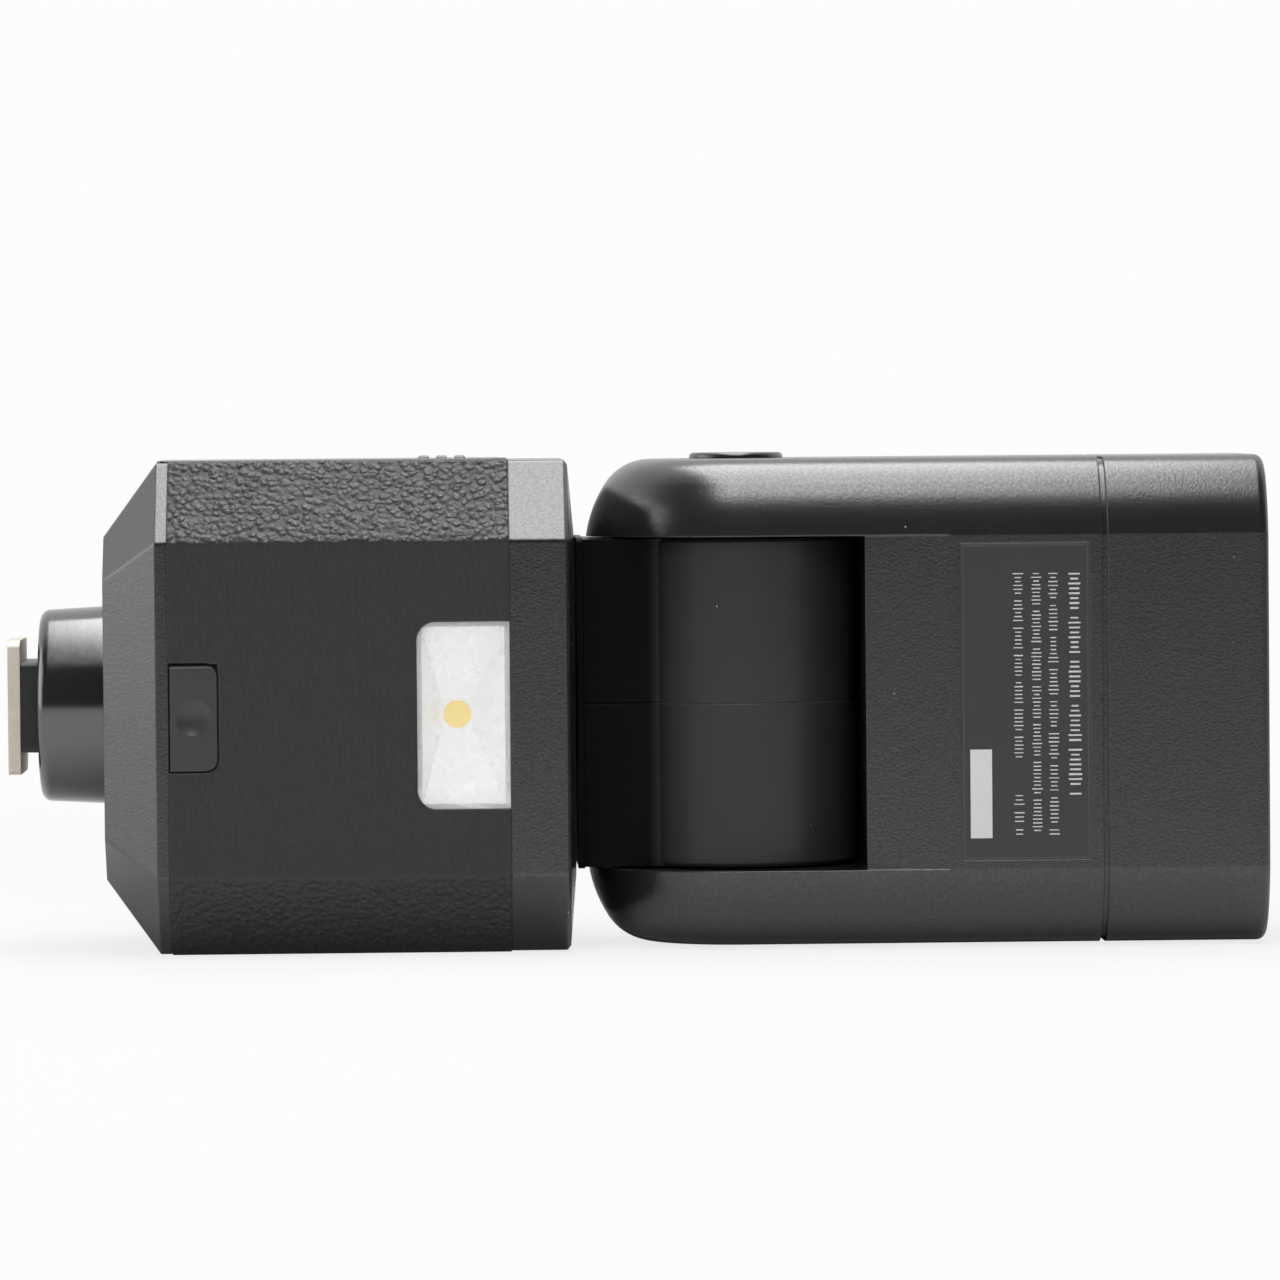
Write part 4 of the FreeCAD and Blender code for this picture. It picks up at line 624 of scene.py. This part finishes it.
def groovedSlab(size, radii, step, profile):
    # closed plate: a grid front as deep as profile(u, v) says, and a flat back; points are (u, v, depth)
    halfU, halfV, thick = size[0] / 2, size[1] / 2, size[2]
    countU, countV = max(2, round(size[0] / step)), max(2, round(size[1] / step))
    points, faces = [], []
    for i in range(countU + 1):
        for j in range(countV + 1):
            u, v = -halfU + size[0] * i / countU, -halfV + size[1] * j / countV
            u, v = squareToRounded(u, v, halfU, halfV, radii)
            points.append((u, v, profile(u, v)))
    row = countV + 1
    for i in range(countU):
        for j in range(countV):
            a = i * row + j
            faces.append((a, a + row, a + row + 1, a + 1))
    rim = [i * row for i in range(countU + 1)] + [countU * row + j for j in range(1, countV + 1)]
    rim += [i * row + countV for i in range(countU - 1, -1, -1)] + [j for j in range(countV - 1, 0, -1)]
    first = len(points)
    points += [(points[k][0], points[k][1], thick) for k in rim]
    count = len(rim)
    for k in range(count):
        following = (k + 1) % count
        faces.append((rim[following], rim[k], first + k, first + following))
    faces.append(tuple(first + k for k in range(count)))
    return points, faces


lampLens = {"pitch": 0.55 * mm, "depth": 0.10 * mm, "step": 0.11 * mm, "corner": 2.6 * mm,
            "lip": 0.03 * mm, "plainRim": 0.35 * mm, "fade": 0.2 * mm}


def makeLampLens(look):
    low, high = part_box("lamp_window")
    size = (high.x - low.x, high.z - low.z, high.y - low.y)
    centre = (low + high) / 2

    def rings(u, v):
        turn = math.hypot(u, v) / look["pitch"] % 1.0
        edge = min(size[0] / 2 - abs(u), size[1] / 2 - abs(v))
        fade = min(1.0, max(0.0, (edge - look["plainRim"]) / look["fade"]))
        return look["lip"] + look["depth"] * turn * fade

    points, faces = groovedSlab(size, (look["corner"], 0), look["step"], rings)
    placed = [(centre.x + u, low.y + d, centre.z + v) for u, v, d in points]
    # u x v points to -Y here, which is outwards for the front
    return meshPiece("lamp_lens", placed, faces,
                     "flash_body", materials["lampMilk"], ["lamp_window"])


frontLens = {"pitch": 1.0 * mm, "depth": 0.40 * mm, "step": 0.25 * mm, "corner": 3.0 * mm,
             "middle": 5.0 * mm, "fade": 0.6 * mm}


def makeFrontLens(look):
    low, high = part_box("fresnel_lens")
    size = (high.y - low.y, high.z - low.z, high.x - low.x)
    centre = (low + high) / 2

    def ridges(u, v):
        # the grooved side looks into the head: long straight prisms with a plain middle band
        away = abs(u) - look["middle"]
        if away < 0:
            return 0.0
        edge = min(size[0] / 2 - abs(u), size[1] / 2 - abs(v))
        fade = min(1.0, max(0.0, edge / look["fade"]))
        return look["depth"] * (away / look["pitch"] % 1.0) * fade

    points, faces = groovedSlab(size, (look["corner"], look["corner"]), look["step"], ridges)
    placed = [(low.x + d, centre.y + u, centre.z + v) for u, v, d in points]
    return meshPiece("front_lens", placed, [tuple(reversed(f)) for f in faces],
                     "head", materials["lensClear"], ["fresnel_lens"])


makeLampLens(lampLens)
makeFrontLens(frontLens)
print("lenses made")


# repeated marks, by geometry nodes
def geometryTree(name, inputs):
    tree = bpy.data.node_groups.new(name, "GeometryNodeTree")
    for socketName, kind, default in inputs:
        socket = tree.interface.new_socket(name=socketName, in_out="INPUT", socket_type="NodeSocket" + kind)
        if default is not None:
            socket.default_value = default
    tree.interface.new_socket(name="Geometry", in_out="OUTPUT", socket_type="NodeSocketGeometry")
    return tree, addNode(tree, "NodeGroupInput"), addNode(tree, "NodeGroupOutput")


def finishTree(tree, given, result, instances):
    real = addNode(tree, "GeometryNodeRealizeInstances")
    paint = addNode(tree, "GeometryNodeSetMaterial")
    connect(tree, instances, real.inputs[0])
    connect(tree, real.outputs[0], paint.inputs["Geometry"])
    connect(tree, given.outputs["Material"], paint.inputs["Material"])
    connect(tree, paint.outputs[0], result.inputs[0])
    return tree


def barRowTree():
    # a row of small raised bars of varying size, with every so many left out as the gap between words
    tree, given, result = geometryTree("barRow", [
        ("Count", "Int", 10), ("Pitch", "Vector", (0, 0, 0.001)), ("Start", "Vector", (0, 0, 0)),
        ("Bar", "Vector", (0.0005, 0.0001, 0.0005)), ("Vary", "Vector", (0, 0, 0)), ("Seed", "Int", 1),
        ("Word", "Int", 1000), ("Material", "Material", None),
    ])
    line = addNode(tree, "GeometryNodeMeshLine", mode="OFFSET")
    connect(tree, given.outputs["Count"], line.inputs["Count"])
    connect(tree, given.outputs["Start"], line.inputs["Start Location"])
    connect(tree, given.outputs["Pitch"], line.inputs["Offset"])
    bar = addNode(tree, "GeometryNodeMeshCube")
    connect(tree, given.outputs["Bar"], bar.inputs["Size"])
    random = addNode(tree, "FunctionNodeRandomValue", data_type="FLOAT_VECTOR")
    lowScale = vectorMath(tree, "SUBTRACT", (1.0, 1.0, 1.0), given.outputs["Vary"])
    connect(tree, lowScale, random.inputs[0])
    random.inputs[1].default_value = (1.0, 1.0, 1.0)
    connect(tree, given.outputs["Seed"], random.inputs["Seed"])
    place = addNode(tree, "GeometryNodeInstanceOnPoints")
    connect(tree, line.outputs[0], place.inputs["Points"])
    index = addNode(tree, "GeometryNodeInputIndex").outputs[0]
    inWord = mathNode(tree, "MODULO", plus(tree, index, 1.0), given.outputs["Word"])
    connect(tree, mathNode(tree, "GREATER_THAN", inWord, 0.5), place.inputs["Selection"])
    connect(tree, bar.outputs[0], place.inputs["Instance"])
    connect(tree, random.outputs[0], place.inputs["Scale"])
    return finishTree(tree, given, result, place.outputs[0])


def tickRingTree():
    # short bars round a circle in the XZ plane
    tree, given, result = geometryTree("tickRing", [
        ("Count", "Int", 24), ("Radius", "Float", 0.01), ("Centre", "Vector", (0, 0, 0)),
        ("Bar", "Vector", (0.0012, 0.0001, 0.0002)), ("Material", "Material", None),
    ])
    circle = addNode(tree, "GeometryNodeMeshCircle")
    connect(tree, given.outputs["Count"], circle.inputs["Vertices"])
    connect(tree, given.outputs["Radius"], circle.inputs["Radius"])
    bar = addNode(tree, "GeometryNodeMeshCube")
    connect(tree, given.outputs["Bar"], bar.inputs["Size"])
    spot = addNode(tree, "GeometryNodeInputPosition")
    aim = addNode(tree, "FunctionNodeAlignRotationToVector", axis="X")
    connect(tree, spot.outputs[0], aim.inputs["Vector"])
    place = addNode(tree, "GeometryNodeInstanceOnPoints")
    connect(tree, circle.outputs[0], place.inputs["Points"])
    connect(tree, bar.outputs[0], place.inputs["Instance"])
    connect(tree, aim.outputs[0], place.inputs["Rotation"])
    real = addNode(tree, "GeometryNodeRealizeInstances")
    connect(tree, place.outputs[0], real.inputs[0])
    tilt = addNode(tree, "GeometryNodeTransform")
    connect(tree, real.outputs[0], tilt.inputs["Geometry"])
    tilt.inputs["Rotation"].default_value = (math.pi / 2, 0, 0)
    connect(tree, given.outputs["Centre"], tilt.inputs["Translation"])
    return finishTree(tree, given, result, tilt.outputs[0])


trees = {"barRow": barRowTree(), "tickRing": tickRingTree()}


def growPiece(name, treeName, values, body, material):
    piece = bpy.data.objects.new(name, bpy.data.meshes.new(name))
    bpy.context.scene.collection.objects.link(piece)
    modifier = piece.modifiers.new("build", "NODES")
    modifier.node_group = trees[treeName]
    values = {**values, "Material": material}
    for item in trees[treeName].interface.items_tree:
        if item.in_out == "INPUT" and item.name in values:
            modifier[item.identifier] = values[item.name]
    evaluated = piece.evaluated_get(bpy.context.evaluated_depsgraph_get())
    mesh = bpy.data.meshes.new_from_object(evaluated)
    piece.modifiers.remove(modifier)
    piece.data = mesh
    wear(piece, material)
    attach(piece, body)
    return piece


# label on the head: a faint outline, rows of plain strokes and an empty pale field
label = {
    "raise": 0.03 * mm, "line": 0.12 * mm, "inset": 0.3 * mm,
    # a row: its middle as a share along X, stroke height in mm, from and to as shares down Z,
    # how many places for strokes, and every how many of them one is left empty
    "rows": [
        (0.88, 1.9, 0.09, 0.80, 46, 9),
        (0.715, 1.45, 0.09, 0.925, 66, 8),
        (0.584, 1.45, 0.09, 0.925, 70, 10),
        (0.443, 1.45, 0.09, 0.68, 48, 7),
        (0.443, 1.45, 0.79, 0.925, 10, 4),
    ],
    "stroke": 0.19 * mm, "boldFirst": 1.5,
    "field": (0.065, 0.233, 0.65, 0.93),  # empty pale box: from and to along X, from and to down Z, as shares
}


def makeLabel(look):
    low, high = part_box("label_plate")
    y = low.y - look["raise"] / 2
    long, wide = high.x - low.x, high.z - low.z
    inset, line = look["inset"], look["line"]
    middle = (low + high) / 2
    thick = look["raise"]
    across = {"Count": 2, "Pitch": (long - 2 * inset, 0, 0), "Start": (low.x + inset, y, middle.z),
              "Bar": (line, thick, wide - 2 * inset)}
    along = {"Count": 2, "Pitch": (0, 0, wide - 2 * inset), "Start": (middle.x, y, low.z + inset),
             "Bar": (long - 2 * inset, thick, line)}
    for name, values in (("label_edge_a", across), ("label_edge_b", along)):
        growPiece(name, "barRow", values, "head", materials["printFaint"])
    for k, (share, height, start, end, count, word) in enumerate(look["rows"]):
        step = wide * (end - start) / count
        growPiece("label_row_%d" % (k + 1), "barRow", {
            "Count": count, "Pitch": (0, 0, -step),
            "Start": (low.x + long * share, y, high.z - wide * start - step / 2),
            "Bar": (height * mm, thick, look["stroke"] * (look["boldFirst"] if k == 0 else 1.0)),
            "Vary": (0.5, 0.0, 0.3), "Seed": 3 + k, "Word": word,
        }, "head", materials["printGrey"])
    x0, x1, z0, z1 = look["field"]
    growPiece("label_field", "barRow", {
        "Count": 1, "Start": (low.x + long * (x0 + x1) / 2, y, high.z - wide * (z0 + z1) / 2),
        "Bar": (long * (x1 - x0), thick, wide * (z1 - z0)),
    }, "head", materials["printWhite"])


makeLabel(label)


# plain marks on the back
backMarks = {
    "raise": 0.04 * mm, "dialTicks": 36, "dialGap": 1.1 * mm, "tick": (0.9 * mm, 0.22 * mm),
    "keyPitch": 1.1 * mm, "keyBar": (1.2 * mm, 0.4 * mm),
    "switchPitch": 3.5 * mm, "switchGap": 1.0 * mm, "switchBar": (0.35 * mm, 1.2 * mm),
}


def makeBackMarks(look):
    low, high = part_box("control_dial")
    centre = (low + high) / 2
    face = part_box("control_panel")[1].y
    thick = look["raise"]
    growPiece("dial_ticks", "tickRing", {
        "Count": look["dialTicks"], "Radius": (high.x - low.x) / 2 + look["dialGap"],
        "Centre": (centre.x, face + thick / 2, centre.z), "Bar": (look["tick"][0], look["tick"][1], thick),
    }, "flash_body", materials["printWhite"])
    for k in (1, 2, 3):
        low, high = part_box("key_%d" % k)
        centre = (low + high) / 2
        growPiece("key_mark_%d" % k, "barRow", {
            "Count": k, "Pitch": (0, 0, look["keyPitch"]),
            "Start": (centre.x, high.y + thick / 2, centre.z - (k - 1) * look["keyPitch"] / 2),
            "Bar": (look["keyBar"][0], thick, look["keyBar"][1]),
        }, "key_%d" % k, materials["printWhite"])
    low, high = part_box("power_switch")
    growPiece("switch_marks", "barRow", {
        "Count": 2, "Pitch": (look["switchPitch"], 0, 0),
        "Start": ((low.x + high.x) / 2, face + thick / 2, high.z + look["switchGap"]),
        "Bar": (look["switchBar"][0], thick, look["switchBar"][1]),
    }, "flash_body", materials["printWhite"])


makeBackMarks(backMarks)
print("marks made")


# floor, light and camera
studio = {
    "floor": (0.735, 0.735, 0.735), "floorHalf": 3.0, "white": 0.98, "nearWhite": 0.80, "fade": (0.14, 0.5),
    "paperScale": 120.0, "paperTint": 0.985, "paperRough": 0.7, "paperShine": 0.2,
    "ambient": 0.27, "darkSide": 0.06, "darkTo": (-0.35, 0.45),
    "distance": 1.03, "aim": (1.1 * mm, -1.8 * mm, 41.9 * mm), "yaw": 1.5, "elevation": 1.8, "roll": 0.5,
    "frameWidth": 177.75 * mm, "sensor": 36.0,
}
lamps = {
    "softBox": {"size": (0.30, 0.86), "power": 4.35, "place": (0.0, -0.05, 0.62),
                "target": (0.0, -0.05, 0.0)},
    "sideCard": {"size": (0.7, 0.7), "power": 2.6, "place": (-0.85, -0.05, 0.25),
                 "target": (0.0, 0.0, 0.04)},
    "frontFill": {"size": (0.9, 0.5), "power": 7.5, "place": (-0.2, -1.3, 0.55), "target": (0.0, 0.0, 0.03),
                  "mirrored": False},
}


def makeFloor(look):
    mesh = bpy.data.meshes.new("floor")
    half = look["floorHalf"]
    corners = [(-half, -half, 0), (half, -half, 0), (half, half, 0), (-half, half, 0)]
    mesh.from_pydata(corners, [], [(0, 1, 2, 3)])
    floor = bpy.data.objects.new("floor", mesh)
    bpy.context.scene.collection.objects.link(floor)
    material = bpy.data.materials.new("floorPaper")
    material.use_nodes = True
    tree = material.node_tree
    shader = tree.nodes["Principled BSDF"]
    output = tree.nodes["Material Output"]
    place = addNode(tree, "ShaderNodeTexCoord").outputs["Object"]
    paper = noise(tree, place, look["paperScale"], detail=3.0)
    far = remap(tree, vectorMath(tree, "LENGTH", place), *look["fade"], look["nearWhite"], 1.0, smooth=True)
    low, high = tuple(look["paperTint"] * c for c in look["floor"]), look["floor"]
    connect(tree, mixColour(tree, paper, asColour(low), asColour(high)), shader.inputs["Base Color"])
    shader.inputs["Roughness"].default_value = look["paperRough"]
    shader.inputs["Specular IOR Level"].default_value = look["paperShine"]
    white = addNode(tree, "ShaderNodeEmission")
    white.inputs["Strength"].default_value = look["white"]
    ray = addNode(tree, "ShaderNodeLightPath")
    seen = times(tree, ray.outputs["Is Camera Ray"], far)
    blend = addNode(tree, "ShaderNodeMixShader")
    connect(tree, seen, blend.inputs[0])
    connect(tree, shader.outputs[0], blend.inputs[1])
    connect(tree, white.outputs[0], blend.inputs[2])
    connect(tree, blend.outputs[0], output.inputs["Surface"])
    mesh.materials.append(material)


def makeWorld(look):
    world = bpy.data.worlds.new("studio")
    bpy.context.scene.world = world
    world.use_nodes = True
    tree = world.node_tree
    background = tree.nodes["Background"]
    direction = addNode(tree, "ShaderNodeTexCoord").outputs["Generated"]
    axes = addNode(tree, "ShaderNodeSeparateXYZ")
    connect(tree, direction, axes.inputs[0])
    behind = remap(tree, axes.outputs["Y"], *look["darkTo"], look["darkSide"], 1.0, smooth=True)
    ray = addNode(tree, "ShaderNodeLightPath")
    mirrored = mathNode(tree, "MAXIMUM", ray.outputs["Is Glossy Ray"], ray.outputs["Is Transmission Ray"])
    ambient = times(tree, oneMinus(tree, mirrored), look["ambient"])
    plain = plus(tree, times(tree, mirrored, behind), ambient)
    camera = ray.outputs["Is Camera Ray"]
    strength = plus(tree, times(tree, camera, look["white"]), times(tree, oneMinus(tree, camera), plain))
    connect(tree, strength, background.inputs["Strength"])
    background.inputs["Color"].default_value = (1, 1, 1, 1)


def makeLamp(name, size, power, place, target, mirrored=True):
    data = bpy.data.lights.new(name, "AREA")
    data.shape = "RECTANGLE"
    data.size, data.size_y = size
    data.energy = power
    lamp = bpy.data.objects.new(name, data)
    bpy.context.scene.collection.objects.link(lamp)
    lamp.location = place
    lamp.rotation_euler = (Vector(target) - Vector(place)).to_track_quat("-Z", "Y").to_euler()
    lamp.visible_glossy = mirrored
    lamp.visible_camera = False


def makeCamera(look):
    data = bpy.data.cameras.new("camera")
    data.sensor_width = look["sensor"]
    data.lens = look["sensor"] * look["distance"] / look["frameWidth"]
    data.clip_start, data.clip_end = 0.05, 20.0
    camera = bpy.data.objects.new("camera", data)
    bpy.context.scene.collection.objects.link(camera)
    yaw, tilt = math.radians(look["yaw"]), math.radians(look["elevation"])
    aim = Vector(look["aim"])
    back = Vector((-math.sin(yaw) * math.cos(tilt), -math.cos(yaw) * math.cos(tilt), math.sin(tilt)))
    camera.location = aim + back * look["distance"]
    turn = (-back).to_track_quat("-Z", "Y").to_matrix().to_4x4()
    camera.rotation_euler = (turn @ Matrix.Rotation(math.radians(-look["roll"]), 4, "Z")).to_euler()
    bpy.context.scene.camera = camera


makeFloor(studio)
makeWorld(studio)
for lampName, settings in lamps.items():
    makeLamp(lampName, **settings)
makeCamera(studio)
bpy.context.scene.view_settings.view_transform = "Standard"
print("studio made")
